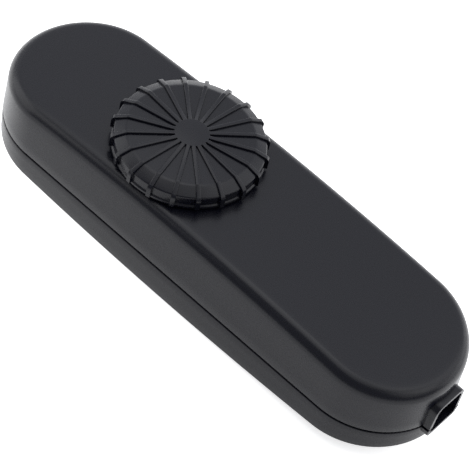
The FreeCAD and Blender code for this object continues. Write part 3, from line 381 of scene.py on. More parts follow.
def collar_section(sizes, housing, wall, upper):
    """Outline of a cord entry's upper arch or lower tray across the body, taken in by wall.

    An outline that is taken in is a hole's, and runs past the seam so that the cut leaves no skin.
    """
    brim = sizes.seam_width / 2 - wall
    if upper:
        far = sizes.top_width / 2 - wall
        level = housing.seam_z + sizes.rise - wall
        foot = housing.seam_z + housing.seam_gap / 2
        if wall:
            foot = housing.seam_z - sizes.wall
        corner = sizes.top_round - wall
    else:
        brim += sizes.tray_proud
        far = sizes.low_width / 2 - wall
        level = housing.seam_z - sizes.drop + wall
        foot = housing.seam_z - housing.seam_gap / 2
        if wall:
            foot = housing.seam_z + housing.tongue_rise + sizes.wall
        corner = sizes.low_round - wall
    return rounded_outline([(-brim, foot, 0), (-far, level, corner), (far, level, corner), (brim, foot, 0)])


def collar_solid(sizes, housing, side, upper):
    """A plain boss in the shape of a cord entry, with a softened open edge."""
    face = housing.body_length / 2 + sizes.reach
    root = housing.body_length / 2 - housing.wall
    points = collar_section(sizes, housing, 0, upper)
    boss = outline_prism(
        "collar", points, lambda p: (side * root, p.x, p.y), Vector((side * (face - root), 0, 0))
    )
    bm = bmesh.new()
    bm.from_mesh(boss.data)
    rim = [e for e in bm.edges if all(abs(v.co.x - side * face) < SAME_PLACE for v in e.verts)]
    bmesh.ops.bevel(bm, geom=rim, offset=sizes.lip, segments=2, affect="EDGES", profile=0.5)
    bm.to_mesh(boss.data)
    bm.free()
    return boss


def collar_hole(sizes, housing, side, upper):
    """The solid that cuts a cord's way through an end wall."""
    face = housing.body_length / 2 + sizes.reach
    start = (housing.body_length - housing.body_width) / 2
    points = collar_section(sizes, housing, sizes.wall, upper)
    push = Vector((side * (face + housing.wall - start), 0, 0))
    return outline_prism("hole", points, lambda p: (side * start, p.x, p.y), push)


def cover_shell(sizes):
    """The upper half: drafted wall, rounded top edge, crowned top, and the same again inside."""
    outer = sizes.body_width / 2
    rim = sizes.seam_z + sizes.seam_gap / 2
    ledge = sizes.seam_z + sizes.tongue_rise
    shell = StadiumShell(sizes)

    def wall(inset):
        return lambda z: outer - inset - sizes.cover_draft * max(z - rim, 0)

    def crown(inset, below=0.0):
        bowed = bow(sizes, inset)
        return lambda x: sizes.crown_z - inset - bowed(x) - below

    edge = sizes.top_round
    for part in reversed(SKIN_RINGS):
        reach = wall(edge)
        shell.ring(lambda z, reach=reach, part=part: reach(z) * part, crown(0))
    for s, c in reversed(quarter(TOP_EDGE_STEPS)):
        shell.ring(wall(edge * (1 - c)), crown(0, edge * (1 - s)))
    for part in COVER_WALL_RINGS:
        top = crown(0, edge)
        shell.ring(wall(0), lambda x, part=part, top=top: rim + (top(x) - rim) * part)
    soft = sizes.rim_round
    for s, c in quarter(RIM_STEPS):
        shell.ring(wall(soft * (1 - c)), lambda x, s=s: rim + soft * (1 - s))
    rebate = sizes.wall - sizes.tongue - sizes.tongue_play
    shell.ring(lambda z: outer - rebate, lambda x: rim)
    shell.ring(lambda z: outer - rebate, lambda x: ledge)
    shell.ring(wall(sizes.wall), lambda x: ledge)
    shell.ring(wall(sizes.wall), crown(sizes.wall))
    for part in SKIN_RINGS[1:]:
        reach = wall(sizes.wall)
        shell.ring(lambda z, reach=reach, part=part: reach(z) * part, crown(sizes.wall))
    return shell.close("top_cover_moulding")


def base_shell(sizes):
    """The lower half: bowed belly, drafted wall, rim, and the tongue that locates the cover."""
    outer = sizes.body_width / 2
    rim = sizes.seam_z - sizes.seam_gap / 2
    ledge = sizes.seam_z + sizes.tongue_rise
    shell = StadiumShell(sizes)

    def wall(inset):
        return lambda z: outer - inset - sizes.base_draft * max(rim - z, 0)

    def belly(inset, above=0.0):
        bowed = bow(sizes, inset)
        return lambda x: sizes.belly_z + inset + bowed(x) + above

    edge = sizes.belly_round
    for part in reversed(SKIN_RINGS):
        reach = wall(edge)
        shell.ring(lambda z, reach=reach, part=part: reach(z) * part, belly(0))
    for s, c in reversed(quarter(BELLY_EDGE_STEPS)):
        shell.ring(wall(edge * (1 - c)), belly(0, edge * (1 - s)))
    for part in BASE_WALL_RINGS:
        low = belly(0, edge)
        shell.ring(wall(0), lambda x, part=part, low=low: rim - (rim - low(x)) * part)
    soft = sizes.rim_round
    for s, c in quarter(RIM_STEPS):
        shell.ring(wall(soft * (1 - c)), lambda x, s=s: rim - soft * (1 - s))
    tongue = outer - sizes.wall + sizes.tongue
    shell.ring(lambda z: tongue, lambda x: rim)
    shell.ring(lambda z: tongue, lambda x: ledge)
    shell.ring(lambda z: outer - sizes.wall, lambda x: ledge)
    shell.ring(wall(sizes.wall), lambda x: rim)
    shell.ring(wall(sizes.wall), belly(sizes.wall))
    for part in SKIN_RINGS[1:]:
        reach = wall(sizes.wall)
        shell.ring(lambda z, reach=reach, part=part: reach(z) * part, belly(sizes.wall))
    return shell.close("base_tray_moulding")


def corners_of(node, inset):
    """The four corners of a part's plan, taken in by inset."""
    low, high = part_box(node)
    return [(x, y) for x in (low.x + inset, high.x - inset) for y in (low.y + inset, high.y - inset)]


def fit_cover(cover, sizes, fitting):
    """The bosses that take the housing screws, and the guide and hole for the knob's shaft."""
    ledge = sizes.seam_z + sizes.tongue_rise
    bowed = bow(sizes, 0)
    under_skin = sizes.crown_z - sizes.wall / 2
    screws = corners_of("housing_screws", fitting.head_radius)
    for x, y in screws:
        boolean(cover, cylinder("boss", fitting.boss_radius, ledge, under_skin - bowed(x), x, y), "UNION")
    guide_low = sizes.crown_z - sizes.wall - fitting.guide_length
    guide_radius = fitting.shaft_hole + fitting.guide_wall
    guide_high = under_skin - bowed(KNOB_AXIS.x)
    guide = cylinder("guide", guide_radius, guide_low, guide_high, KNOB_AXIS.x, KNOB_AXIS.y)
    boolean(cover, guide, "UNION")
    above = sizes.crown_z + sizes.wall
    hole = cylinder("hole", fitting.shaft_hole, sizes.seam_z, above, KNOB_AXIS.x, KNOB_AXIS.y)
    boolean(cover, hole, "DIFFERENCE")
    pilot_radius = fitting.screw_radius + fitting.screw_play
    for x, y in screws:
        pilot = cylinder("pilot", pilot_radius, sizes.seam_z, ledge + fitting.pilot_depth, x, y)
        boolean(cover, pilot, "DIFFERENCE")


def fit_base(base, sizes, fitting):
    """The posts under the board, the cord clamps' posts and saddles, and the wells of the housing screws."""
    ledge = sizes.seam_z + sizes.tongue_rise
    bowed = bow(sizes, 0)
    board_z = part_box("circuit_board")[0].z
    screws = corners_of("housing_screws", fitting.head_radius)
    clamps = corners_of("clamp_screws", fitting.clamp_head)
    low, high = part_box("board_screws")
    middle = (low.y + high.y) / 2
    board_screws = [(low.x + fitting.board_head, middle), (high.x - fitting.board_head, middle)]
    # A screw's post carries the fourth corner of the board.
    posts = [(x, y) for x, y in corners_of("circuit_board", fitting.post_inset) if x < 0 or y < 0]
    stands = [(fitting.boss_radius, ledge, x, y) for x, y in screws]
    stands += [(fitting.post_radius, board_z, x, y) for x, y in posts + board_screws]
    stands += [(fitting.clamp_post, fitting.clamp_z, x, y) for x, y in clamps]
    for radius, top, x, y in stands:
        foot = sizes.belly_z + bowed(x) + sizes.wall / 2
        boolean(base, cylinder("stand", radius, foot, top, x, y), "UNION")
    reach_x, reach_y = clamps[-1]
    for side in (MAINS_SIDE, LAMP_SIDE):
        foot = sizes.belly_z + bowed(reach_x) + sizes.wall / 2
        start = Vector((side * reach_x - fitting.saddle_length / 2, -reach_y, foot))
        stop = Vector((side * reach_x + fitting.saddle_length / 2, reach_y, fitting.saddle_z))
        boolean(base, block("saddle", start, stop), "UNION")
    well = fitting.head_radius + fitting.head_play
    shank = fitting.screw_radius + fitting.head_play
    board_pilot = fitting.board_screw + fitting.screw_play
    clamp_pilot = fitting.clamp_screw + fitting.screw_play
    clamp_low = fitting.clamp_z - fitting.clamp_pilot
    clamp_high = fitting.clamp_z + sizes.wall
    cuts = [(well, -sizes.wall, fitting.head_seat, x, y) for x, y in screws]
    cuts += [(shank, 0, ledge + sizes.wall, x, y) for x, y in screws]
    cuts += [(board_pilot, board_z - fitting.board_pilot, ledge, x, y) for x, y in board_screws]
    cuts += [(clamp_pilot, clamp_low, clamp_high, x, y) for x, y in clamps]
    for radius, start, stop, x, y in cuts:
        boolean(base, cylinder("cut", radius, start, stop, x, y), "DIFFERENCE")


# Finishes

PLASTIC_IOR = 1.46
GLASS_IOR = 1.52
MOTTLE_MM = 14  # across a patch of the plastics' mottle
GLOSS_SPREAD = 0.06  # by which the grain changes a plastic's roughness up and down
STREAK_STRETCH = 0.2  # a metal's grain is drawn out along +Z by the inverse of this
STREAK_RELIEF_MM = 0.004
STREAK_LOW, STREAK_HIGH = 0.7, 1.3  # shares of a metal's roughness between which its streaks change
GLASS_PATCH_MM = 1.5  # across a patch of glass of one gloss
GLASS_LOW, GLASS_HIGH = 0.02, 0.08  # roughness of glass
PAPER_ROUGHNESS = 0.9


def linear(code):
    """An sRGB hex colour as linear red, green, blue and alpha."""
    channels = [int(code[i : i + 2], 16) / 255 for i in (1, 3, 5)]
    return [c / 12.92 if c <= 0.04045 else ((c + 0.055) / 1.055) ** 2.4 for c in channels] + [1.0]


def add(tree, kind, settings=None, inputs=None):
    """Adds a node with its settings, and sets or links its inputs."""
    node = tree.nodes.new(kind)
    for key, value in (settings or {}).items():
        setattr(node, key, value)
    for key, value in (inputs or {}).items():
        if isinstance(value, bpy.types.NodeSocket):
            tree.links.new(value, node.inputs[key])
        else:
            node.inputs[key].default_value = value
    return node


def new_material(name):
    """A material with its shader, and the place on the object in metres for its patterns."""
    material = bpy.data.materials.new(name)
    material.use_nodes = True
    tree = material.node_tree
    tree.nodes.clear()
    shader = add(tree, "ShaderNodeBsdfPrincipled")
    add(tree, "ShaderNodeOutputMaterial", inputs={"Surface": shader.outputs["BSDF"]})
    place = add(tree, "ShaderNodeTexCoord").outputs["Object"]
    return material, tree, shader, place


def moulded_plastic(name, code, roughness, grain_mm, relief_mm, mottle=0.10):
    """Moulded plastic or resin: even colour, a fine grain from the mould, and a faint mottle.

    The real grain is too fine to show in the render, so grain_mm draws it coarser.
    """
    material, tree, shader, place = new_material(name)
    shader.inputs["IOR"].default_value = PLASTIC_IOR
    grain = add(
        tree,
        "ShaderNodeTexNoise",
        inputs={"Vector": place, "Scale": 1 / (grain_mm * MM), "Detail": 3.0, "Roughness": 0.6},
    )
    cloud = add(
        tree, "ShaderNodeTexNoise", inputs={"Vector": place, "Scale": 1 / (MOTTLE_MM * MM), "Detail": 2.0}
    )
    colour = linear(code)
    shade = add(
        tree,
        "ShaderNodeMix",
        {"data_type": "RGBA", "blend_type": "MIX"},
        {
            "Factor": cloud.outputs["Fac"],
            "A": [c * (1 - mottle) for c in colour[:3]] + [1],
            "B": [c * (1 + mottle) for c in colour[:3]] + [1],
        },
    )
    tree.links.new(shade.outputs["Result"], shader.inputs["Base Color"])
    gloss = add(
        tree,
        "ShaderNodeMapRange",
        inputs={
            "Value": grain.outputs["Fac"],
            "To Min": roughness - GLOSS_SPREAD,
            "To Max": roughness + GLOSS_SPREAD,
        },
    )
    tree.links.new(gloss.outputs["Result"], shader.inputs["Roughness"])
    bump = add(
        tree,
        "ShaderNodeBump",
        inputs={"Height": grain.outputs["Fac"], "Distance": relief_mm * MM, "Strength": 1.0},
    )
    tree.links.new(bump.outputs["Normal"], shader.inputs["Normal"])
    return material


def worked_metal(name, code, roughness, grain_mm):
    """Plated or rolled metal: bright, with fine streaks in its gloss, drawn coarser than the real ones."""
    material, tree, shader, place = new_material(name)
    shader.inputs["Metallic"].default_value = 1.0
    shader.inputs["Base Color"].default_value = linear(code)
    streak = add(tree, "ShaderNodeMapping", inputs={"Vector": place, "Scale": (1.0, 1.0, STREAK_STRETCH)})
    grain = add(
        tree,
        "ShaderNodeTexNoise",
        inputs={"Vector": streak.outputs["Vector"], "Scale": 1 / (grain_mm * MM), "Detail": 3.0},
    )
    gloss = add(
        tree,
        "ShaderNodeMapRange",
        inputs={
            "Value": grain.outputs["Fac"],
            "To Min": roughness * STREAK_LOW,
            "To Max": roughness * STREAK_HIGH,
        },
    )
    tree.links.new(gloss.outputs["Result"], shader.inputs["Roughness"])
    bump = add(
        tree,
        "ShaderNodeBump",
        inputs={"Height": grain.outputs["Fac"], "Distance": STREAK_RELIEF_MM * MM, "Strength": 1.0},
    )
    tree.links.new(bump.outputs["Normal"], shader.inputs["Normal"])
    return material


def clear_glass(name, code, clearness):
    """Glass: clear and smooth, with a faint unevenness in its gloss."""
    material, tree, shader, place = new_material(name)
    shader.inputs["Base Color"].default_value = linear(code)
    shader.inputs["Transmission Weight"].default_value = clearness
    shader.inputs["IOR"].default_value = GLASS_IOR
    patches = add(
        tree,
        "ShaderNodeTexNoise",
        inputs={"Vector": place, "Scale": 1 / (GLASS_PATCH_MM * MM), "Detail": 1.0},
    )
    gloss = add(
        tree,
        "ShaderNodeMapRange",
        inputs={"Value": patches.outputs["Fac"], "To Min": GLASS_LOW, "To Max": GLASS_HIGH},
    )
    tree.links.new(gloss.outputs["Result"], shader.inputs["Roughness"])
    return material


def dress(thing, material):
    """Gives a piece one material."""
    thing.data.materials.clear()
    thing.data.materials.append(material)


def coat_parts(material, *nodes):
    """Gives parts of the frame one material."""
    for node in nodes:
        dress(frame["nodes"][node], material)


# Pieces


class DIMMER_OT_housing(bpy.types.Operator):
    """Builds the two moulded halves of the housing"""

    bl_idname = "dimmer.housing"
    bl_label = "Housing halves"

    def execute(self, context):
        sizes = context.scene.dimmer_housing
        collar = context.scene.dimmer_collar
        fitting = context.scene.dimmer_fitting
        colour = context.scene.dimmer_colours.housing
        # Near-black with a blue cast: even and softly satin, with a dull bright line along each rounded edge.
        plastic = moulded_plastic(
            "textured_black_abs", colour, roughness=0.28, grain_mm=0.32, relief_mm=0.004
        )
        cover = cover_shell(sizes)
        base = base_shell(sizes)
        boolean(cover, collar_solid(collar, sizes, LAMP_SIDE, True), "UNION")
        boolean(base, collar_solid(collar, sizes, LAMP_SIDE, False), "UNION")
        for side in (MAINS_SIDE, LAMP_SIDE):
            boolean(cover, collar_hole(collar, sizes, side, True), "DIFFERENCE")
            boolean(base, collar_hole(collar, sizes, side, False), "DIFFERENCE")
        fit_cover(cover, sizes, fitting)
        half_length, half_width = sizes.land_length / 2, sizes.land_width / 2
        turns = ((-1, -1), (1, -1), (1, 1), (-1, 1))
        corners = [(sx * half_length, sy * half_width, sizes.land_corner) for sx, sy in turns]
        land = outline_prism(
            "land", rounded_outline(corners), lambda p: (p.x, p.y, 0.0), Vector((0, 0, sizes.wall))
        )
        boolean(base, land, "UNION")
        fit_base(base, sizes, fitting)
        for thing, node in ((cover, "top_cover"), (base, "base_tray")):
            smooth(thing, HOUSING_CREASE)
            dress(thing, plastic)
            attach(thing, "housing")
            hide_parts(node)
        return {"FINISHED"}


def knob_dome(sizes):
    """The knob without its ribs: hub, panels, bevel, rim, foot flange, hollow and shaft socket."""
    low, top = KNOB_LOW.z, KNOB_HIGH.z
    panel = top - sizes.rib_proud
    bevel = panel - sizes.panel_fall
    flange = sizes.rim_radius + sizes.flange_proud
    inner = sizes.rim_radius - sizes.skin
    ceiling = bevel - sizes.skin
    corners = [(0, top, 0), (sizes.hub_radius, top, sizes.hub_round), (sizes.hub_radius, panel, 0)]
    corners += [(sizes.rim_radius - sizes.bevel_width, bevel, sizes.bevel_round)]
    corners += [(sizes.rim_radius, bevel - sizes.bevel_drop, sizes.rim_round)]
    corners += [(sizes.rim_radius, low + sizes.flange_height, 0)]
    corners += [(flange, low + sizes.flange_height - sizes.flange_proud, sizes.foot_round)]
    corners += [(flange, low, sizes.foot_round)]
    corners += [(inner, low, 0), (inner, ceiling, 0), (sizes.socket_radius, ceiling, 0)]
    corners += [(sizes.socket_radius, low, 0), (sizes.shaft_bore, low, 0)]
    corners += [(sizes.shaft_bore, top - sizes.shaft_skin, 0), (0, top - sizes.shaft_skin, 0)]
    points = rounded_outline(corners, KNOB_PROFILE_STEPS)
    bm = bmesh.new()
    verts = [bm.verts.new((p.x, 0, p.y)) for p in points]
    edges = [bm.edges.new((verts[k], verts[k + 1])) for k in range(len(verts) - 1)]
    bmesh.ops.spin(
        bm,
        geom=verts + edges,
        cent=(0, 0, 0),
        axis=(0, 0, 1),
        angle=2 * math.pi,
        steps=KNOB_SPIN_STEPS,
        use_merge=True,
    )
    return new_object("knob_dome", bm)


def knob_rib(sizes):
    """One rib along +X: from the hub over the panel, round the bend and down the rim."""
    low, top = KNOB_LOW.z, KNOB_HIGH.z
    bend = sizes.rim_radius - sizes.bevel_width
    slope = sizes.bevel_drop / sizes.bevel_width
    bend_z = top - sizes.panel_fall
    tip_z = bend_z - slope * (sizes.rib_tip - bend)
    foot = low + sizes.flange_proud
    root = sizes.rim_radius - sizes.skin / 2
    under = top - sizes.rib_proud - sizes.skin / 2
    start = sizes.hub_radius / 2
    corners = [(start, under, 0), (start, top - sizes.rib_sink, 0), (bend, bend_z, sizes.rib_bend)]
    corners += [(sizes.rib_tip, tip_z, sizes.rib_bend), (sizes.rib_tip, foot, 0), (root, foot, 0)]
    corners += [(root, under - sizes.bevel_drop, 0), (bend, under, 0)]
    half = sizes.rib_width / 2
    points = rounded_outline(corners)
    rib = outline_prism("knob_rib", points, lambda p: (p.x, -half, p.y), Vector((0, sizes.rib_width, 0)))
    bm = bmesh.new()
    bm.from_mesh(rib.data)
    crest = []
    for edge in bm.edges:
        a, b = [vert.co for vert in edge.verts]
        inner_x, lower_z, upper_z = min(a.x, b.x), min(a.z, b.z), max(a.z, b.z)
        on_side = abs(a.y - b.y) < SAME_PLACE
        on_top = lower_z > tip_z - sizes.rib_bend and inner_x > start - SAME_PLACE
        upright = abs(a.x - b.x) <= SAME_PLACE
        on_tip = inner_x > sizes.rib_tip - SAME_PLACE
        buried = upper_z <= under + SAME_PLACE
        if on_side and ((on_top and not upright) or on_tip) and not buried:
            crest.append(edge)
    bmesh.ops.bevel(bm, geom=crest, offset=sizes.rib_edge, segments=3, affect="EDGES", profile=0.5)
    bm.to_mesh(rib.data)
    bm.free()
    return rib


def rib_tree():
    """Sets copies of a rib round the knob's axis and joins them with the dome."""
    tree = bpy.data.node_groups.new("knob_ribs", "GeometryNodeTree")
    sockets = {"Dome": "Geometry", "Rib": "Object", "Ribs": "Int", "Phase": "Float", "Plastic": "Material"}
    for name, kind in sockets.items():
        tree.interface.new_socket(name, in_out="INPUT", socket_type="NodeSocket" + kind)
    tree.interface.new_socket("Knob", in_out="OUTPUT", socket_type="NodeSocketGeometry")
    given = add(tree, "NodeGroupInput")
    rib = add(tree, "GeometryNodeObjectInfo", inputs={"Object": given.outputs["Rib"]})
    spots = add(tree, "GeometryNodePoints", inputs={"Count": given.outputs["Ribs"]})
    step = add(tree, "ShaderNodeMath", {"operation": "DIVIDE"}, {0: 2 * math.pi, 1: given.outputs["Ribs"]})
    index = add(tree, "GeometryNodeInputIndex")
    turn = add(
        tree,
        "ShaderNodeMath",
        {"operation": "MULTIPLY_ADD"},
        {0: index.outputs["Index"], 1: step.outputs["Value"], 2: given.outputs["Phase"]},
    )
    spin = add(
        tree, "FunctionNodeAxisAngleToRotation", inputs={"Axis": (0, 0, 1), "Angle": turn.outputs["Value"]}
    )
    copies = add(
        tree,
        "GeometryNodeInstanceOnPoints",
        inputs={
            "Points": spots.outputs["Geometry"],
            "Instance": rib.outputs["Geometry"],
            "Rotation": spin.outputs["Rotation"],
        },
    )
    join = add(tree, "GeometryNodeMeshBoolean", {"operation": "UNION", "solver": "EXACT"})
    tree.links.new(given.outputs["Dome"], join.inputs["Mesh 2"])
    tree.links.new(copies.outputs["Instances"], join.inputs["Mesh 2"])
    real = add(tree, "GeometryNodeRealizeInstances", inputs={"Geometry": join.outputs["Mesh"]})
    coat = add(
        tree,
        "GeometryNodeSetMaterial",
        inputs={"Geometry": real.outputs["Geometry"], "Material": given.outputs["Plastic"]},
    )
    add(tree, "NodeGroupOutput", inputs={"Knob": coat.outputs["Geometry"]})
    return tree


def set_inputs(modifier, values):
    """Sets a node modifier's inputs, found by name, through their identifiers."""
    for item in modifier.node_group.interface.items_tree:
        if item.in_out == "INPUT" and item.name in values:
            modifier[item.identifier] = values[item.name]


class DIMMER_OT_knob(bpy.types.Operator):
    """Builds the ribbed knob"""

    bl_idname = "dimmer.knob"
    bl_label = "Knob"

    def execute(self, context):
        sizes = context.scene.dimmer_knob
        colour = context.scene.dimmer_colours.knob
        # The housing's black with a finer grain, so that the ribs' crests draw thin clean lines.
        plastic = moulded_plastic("satin_black_abs", colour, roughness=0.28, grain_mm=0.28, relief_mm=0.004)
        knob = knob_dome(sizes)
        rib = knob_rib(sizes)
        pattern = knob.modifiers.new("ribs", "NODES")
        pattern.node_group = rib_tree()
        values = {"Rib": rib, "Ribs": sizes.rib_count, "Phase": sizes.rib_phase, "Plastic": plastic}
        set_inputs(pattern, values)
        knob.data = baked(knob)
        knob.modifiers.clear()
        bpy.data.objects.remove(rib)
        knob.name = "knob_moulding"
        knob.data.transform(Matrix.Translation((KNOB_AXIS.x, KNOB_AXIS.y, 0)))
        smooth(knob, KNOB_CREASE)
        dress(knob, plastic)
        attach(knob, "dial")
        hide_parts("knob")
        return {"FINISHED"}


class DIMMER_OT_inner_parts(bpy.types.Operator):
    """Gives every other part its finish"""

    bl_idname = "dimmer.inner_parts"
    bl_label = "Inner parts"

    def execute(self, context):
        # Pale grey screw heads with a dull shine.
        zinc = worked_metal("zinc_plate", "#B9BBB8", roughness=0.32, grain_mm=0.2)
        coat_parts(zinc, "housing_screws", "board_screws", "terminal_screws")
        # Whiter and shinier small screws.
        bright_zinc = worked_metal("bright_zinc", "#C4C5C0", roughness=0.28, grain_mm=0.2)
        coat_parts(bright_zinc, "clamp_screws", "triac_screw", "triac_nut")
        # Creamy, waxy white.
        nylon = moulded_plastic("natural_nylon", "#DAD6C6", roughness=0.45, grain_mm=0.5, relief_mm=0.01)
        coat_parts(nylon, "pot_shaft", "mains_cord_clamp", "lamp_cord_clamp")
        # A warm yellow-brown glint.
        coat_parts(worked_metal("spring_bronze", "#B98A4E", roughness=0.25, grain_mm=0.3), "pot_wiper")
        # Dull charcoal with a pitted skin.
        compound = moulded_plastic(
            "moulding_compound", "#1C1C1E", roughness=0.5, grain_mm=0.3, relief_mm=0.015
        )
        coat_parts(compound, "pot_case", "mains_switch", "triac")
        # Dark brown, as resin-bonded paper is.
        track = moulded_plastic("phenolic_track", "#5A3A20", roughness=0.4, grain_mm=0.6, relief_mm=0.01)
        coat_parts(track, "pot_track")
        # Tan and matt, as a bare single-sided board is.
        board = moulded_plastic("phenolic_board", "#A98B4C", roughness=0.5, grain_mm=0.8, relief_mm=0.01)
        coat_parts(board, "circuit_board")
        # Clear mid green, satin.
        green = moulded_plastic("green_polyamide", "#2E6E45", roughness=0.4, grain_mm=0.5, relief_mm=0.01)
        coat_parts(green, "mains_terminal", "lamp_terminal")
        # Dark grey and rough, like pressed powder.
        iron = moulded_plastic("powdered_iron", "#3A3A3C", roughness=0.6, grain_mm=0.3, relief_mm=0.02)
        coat_parts(iron, "choke_core")
        # Shining red-brown under a coat of lacquer.
        coat_parts(worked_metal("enamelled_copper", "#B5652F", roughness=0.22, grain_mm=0.4), "choke_winding")
        # Even mustard yellow, smooth.
        film = moulded_plastic("yellow_film_box", "#C9B33A", roughness=0.35, grain_mm=0.6, relief_mm=0.008)
        coat_parts(film, "mains_capacitor")
        # Glossy red-brown with the slight waves of a dip.
        dip = moulded_plastic("dipped_film", "#8C3A22", roughness=0.25, grain_mm=1.0, relief_mm=0.02)
        coat_parts(dip, "gate_capacitor")
        # Light tan with a varnished gloss.
        lacquer = moulded_plastic("tan_lacquer", "#C2A878", roughness=0.3, grain_mm=0.8, relief_mm=0.01)
        coat_parts(lacquer, "resistors")
        # Cloudy orange glass.
        coat_parts(clear_glass("sealed_bead_glass", "#C2683C", clearness=0.4), "diac")
        # Almost invisible but for its highlights.
        coat_parts(clear_glass("fuse_glass", "#EEF4F2", clearness=0.95), "fuse_tube")
        # Mirror-like warm grey.
        coat_parts(worked_metal("nickel_plate", "#C9C5BB", roughness=0.2, grain_mm=0.2), "fuse_caps")
        # Pale yellow-grey with a soft shine.
        coat_parts(worked_metal("tinned_brass", "#C8BD9A", roughness=0.3, grain_mm=0.2), "fuse_clips")
        # Light cool grey, streaked along its height.
        coat_parts(worked_metal("rolled_aluminium", "#C6C8CA", roughness=0.35, grain_mm=0.3), "heat_sink")
        return {"FINISHED"}


# Stage

SENSOR_WIDTH = 36.0  # millimetres, as cameras state it
CLIP_START = 0.01  # metres


def softbox(name, stage, turn, rise, width, height, brightness):
    """A panel of even light that faces the object: turn and rise in degrees, sides in metres."""
    turn, rise = math.radians(turn), math.radians(rise)
    way = Vector((math.cos(turn) * math.cos(rise), math.sin(turn) * math.cos(rise), math.sin(rise)))
    data = bpy.data.lights.new(name, "AREA")
    data.shape = "RECTANGLE"
    data.size, data.size_y = width, height
    # An even panel of brightness 1 gives off pi watts for each square metre.
    data.energy = stage.panels * brightness * math.pi * width * height
    light = bpy.data.objects.new(name, data)
    light.location = way * stage.panel_distance
    light.rotation_euler = way.to_track_quat("Z", "Y").to_euler()
    bpy.context.scene.collection.objects.link(light)


def graded_room(stage, colour):
    """A white room, dim round the camera and brighter behind the object."""
    world = bpy.data.worlds.new("white_room")
    world.use_nodes = True
    tree = world.node_tree
    tree.nodes.clear()
    way = add(tree, "ShaderNodeTexCoord").outputs["Generated"]
    behind = Vector((-math.sin(stage.azimuth), math.cos(stage.azimuth), 0))
    facing = add(tree, "ShaderNodeVectorMath", {"operation": "DOT_PRODUCT"}, {0: way, 1: behind})
    fade = add(
        tree,
        "ShaderNodeMapRange",
        {"interpolation_type": "SMOOTHSTEP"},
        {
            "Value": facing.outputs["Value"],
            "From Min": stage.fade_from,
            "From Max": stage.fade_to,
            "To Min": stage.room,
            "To Max": stage.room + stage.backdrop,
        },
    )
    light = add(tree, "ShaderNodeBackground", inputs={"Strength": fade.outputs["Result"]})
    light.inputs["Color"].default_value = linear(colour)
    add(tree, "ShaderNodeOutputWorld", inputs={"Surface": light.outputs["Background"]})
    return world


def studio_camera(sizes, target):
    """The camera of the photograph: turned, raised and rolled about the body's middle."""
    flat, rise = math.cos(sizes.elevation), math.sin(sizes.elevation)
    along, aside = math.cos(sizes.azimuth), math.sin(sizes.azimuth)
    back = Vector((aside * flat, -along * flat, rise))
    right = Vector((along, aside, 0))
    up = back.cross(right)
    c, s = math.cos(sizes.roll), math.sin(sizes.roll)
    rolled_right, rolled_up = c * right + s * up, c * up - s * right
    data = bpy.data.cameras.new("camera")
    data.sensor_fit = "HORIZONTAL"
    data.sensor_width = SENSOR_WIDTH
    data.lens = sizes.focal * data.sensor_width
    data.shift_x, data.shift_y = sizes.shift_x, sizes.shift_y
    data.clip_start = CLIP_START
    camera = bpy.data.objects.new("camera", data)
    turn = Matrix((rolled_right, rolled_up, back)).transposed().to_4x4()
    camera.matrix_world = Matrix.Translation(target + back * sizes.distance) @ turn
    bpy.context.scene.collection.objects.link(camera)
    bpy.context.scene.camera = camera


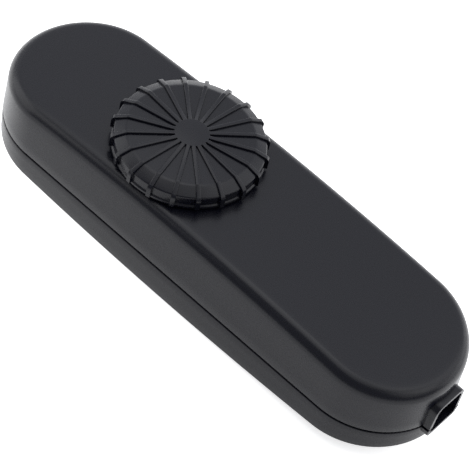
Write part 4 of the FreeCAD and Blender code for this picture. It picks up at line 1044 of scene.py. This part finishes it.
class DIMMER_OT_stage(bpy.types.Operator):
    """Sets the white floor, the lights and the camera"""

    bl_idname = "dimmer.stage"
    bl_label = "Stage"

    def execute(self, context):
        scene = context.scene
        sizes = scene.dimmer_stage
        bm = bmesh.new()
        bmesh.ops.create_grid(bm, x_segments=1, y_segments=1, size=sizes.floor_half)
        floor = new_object("floor", bm)
        # White paper lit from below: dull, so nothing mirrors in it, and overexposed to plain white.
        material, tree, shader, place = new_material("matt_white_paper")
        shader.inputs["Base Color"].default_value = linear(scene.dimmer_colours.floor)
        shader.inputs["Roughness"].default_value = PAPER_ROUGHNESS
        shader.inputs["Emission Color"].default_value = linear(scene.dimmer_colours.floor)
        way = Vector((-math.sin(sizes.glow_turn), math.cos(sizes.glow_turn), 0))
        along = add(tree, "ShaderNodeVectorMath", {"operation": "DOT_PRODUCT"}, {0: place, 1: way})
        glow = add(
            tree,
            "ShaderNodeMapRange",
            {"interpolation_type": "SMOOTHSTEP"},
            {
                "Value": along.outputs["Value"],
                "From Min": sizes.glow_from,
                "From Max": sizes.glow_to,
                "To Min": sizes.floor_glow,
                "To Max": sizes.floor_glow + sizes.floor_lift,
            },
        )
        # The camera alone sees this glow, which adds no light to the body.
        seen = add(tree, "ShaderNodeLightPath").outputs["Is Camera Ray"]
        shown = add(
            tree,
            "ShaderNodeMath",
            {"operation": "MULTIPLY_ADD"},
            {0: seen, 1: sizes.white_out, 2: glow.outputs["Result"]},
        )
        tree.links.new(shown.outputs["Value"], shader.inputs["Emission Strength"])
        dress(floor, material)
        softbox("far_end_panel", sizes, turn=207, rise=27, width=0.85, height=0.75, brightness=1.1)
        softbox("back_panel", sizes, turn=110, rise=15, width=1.6, height=0.3, brightness=0.4)
        softbox("back_right_panel", sizes, turn=50, rise=18, width=0.8, height=0.35, brightness=0.9)
        softbox("near_end_panel", sizes, turn=38, rise=52, width=0.8, height=0.6, brightness=0.65)
        softbox("near_panel", sizes, turn=5, rise=38, width=0.6, height=0.5, brightness=0.6)
        softbox("top_panel", sizes, turn=165, rise=69, width=0.7, height=0.5, brightness=0.6)
        softbox("crown_panel", sizes, turn=0, rise=86, width=0.65, height=0.65, brightness=0.6)
        scene.world = graded_room(sizes, scene.dimmer_colours.room)
        scene.view_settings.view_transform = "Standard"
        studio_camera(sizes, Vector((0, 0, scene.dimmer_housing.belly_z)))
        return {"FINISHED"}


class DIMMER_PT_panel(bpy.types.Panel):
    """Lists the dimmer's sizes and steps"""

    bl_idname = "DIMMER_PT_panel"
    bl_label = "Cord dimmer"
    bl_space_type = "VIEW_3D"
    bl_region_type = "UI"
    bl_category = "Dimmer"

    def draw(self, context):
        for step in STEPS:
            self.layout.operator(step.bl_idname)
        for group in GROUPS:
            column = self.layout.box().column()
            column.label(text=group.__doc__)
            for key in group.__annotations__:
                column.prop(getattr(context.scene, GROUPS[group]), key)


GROUPS = {
    HousingSizes: "dimmer_housing",
    CollarSizes: "dimmer_collar",
    FittingSizes: "dimmer_fitting",
    KnobSizes: "dimmer_knob",
    StageSizes: "dimmer_stage",
    FinishColours: "dimmer_colours",
}
STEPS = (DIMMER_OT_housing, DIMMER_OT_knob, DIMMER_OT_inner_parts, DIMMER_OT_stage)


def register():
    """Adds the sizes to the scene, and the steps and the sidebar panel to the program."""
    for group, name in GROUPS.items():
        bpy.utils.register_class(group)
        setattr(bpy.types.Scene, name, PointerProperty(type=group))
    for step in STEPS:
        bpy.utils.register_class(step)
    bpy.utils.register_class(DIMMER_PT_panel)


def unregister():
    """Takes them away again."""
    bpy.utils.unregister_class(DIMMER_PT_panel)
    for step in reversed(STEPS):
        bpy.utils.unregister_class(step)
    for group, name in GROUPS.items():
        delattr(bpy.types.Scene, name)
        bpy.utils.unregister_class(group)


def main():
    """Builds everything in order."""
    register()
    bpy.ops.dimmer.housing()
    bpy.ops.dimmer.knob()
    bpy.ops.dimmer.inner_parts()
    bpy.ops.dimmer.stage()


if __name__ == "__main__":
    main()
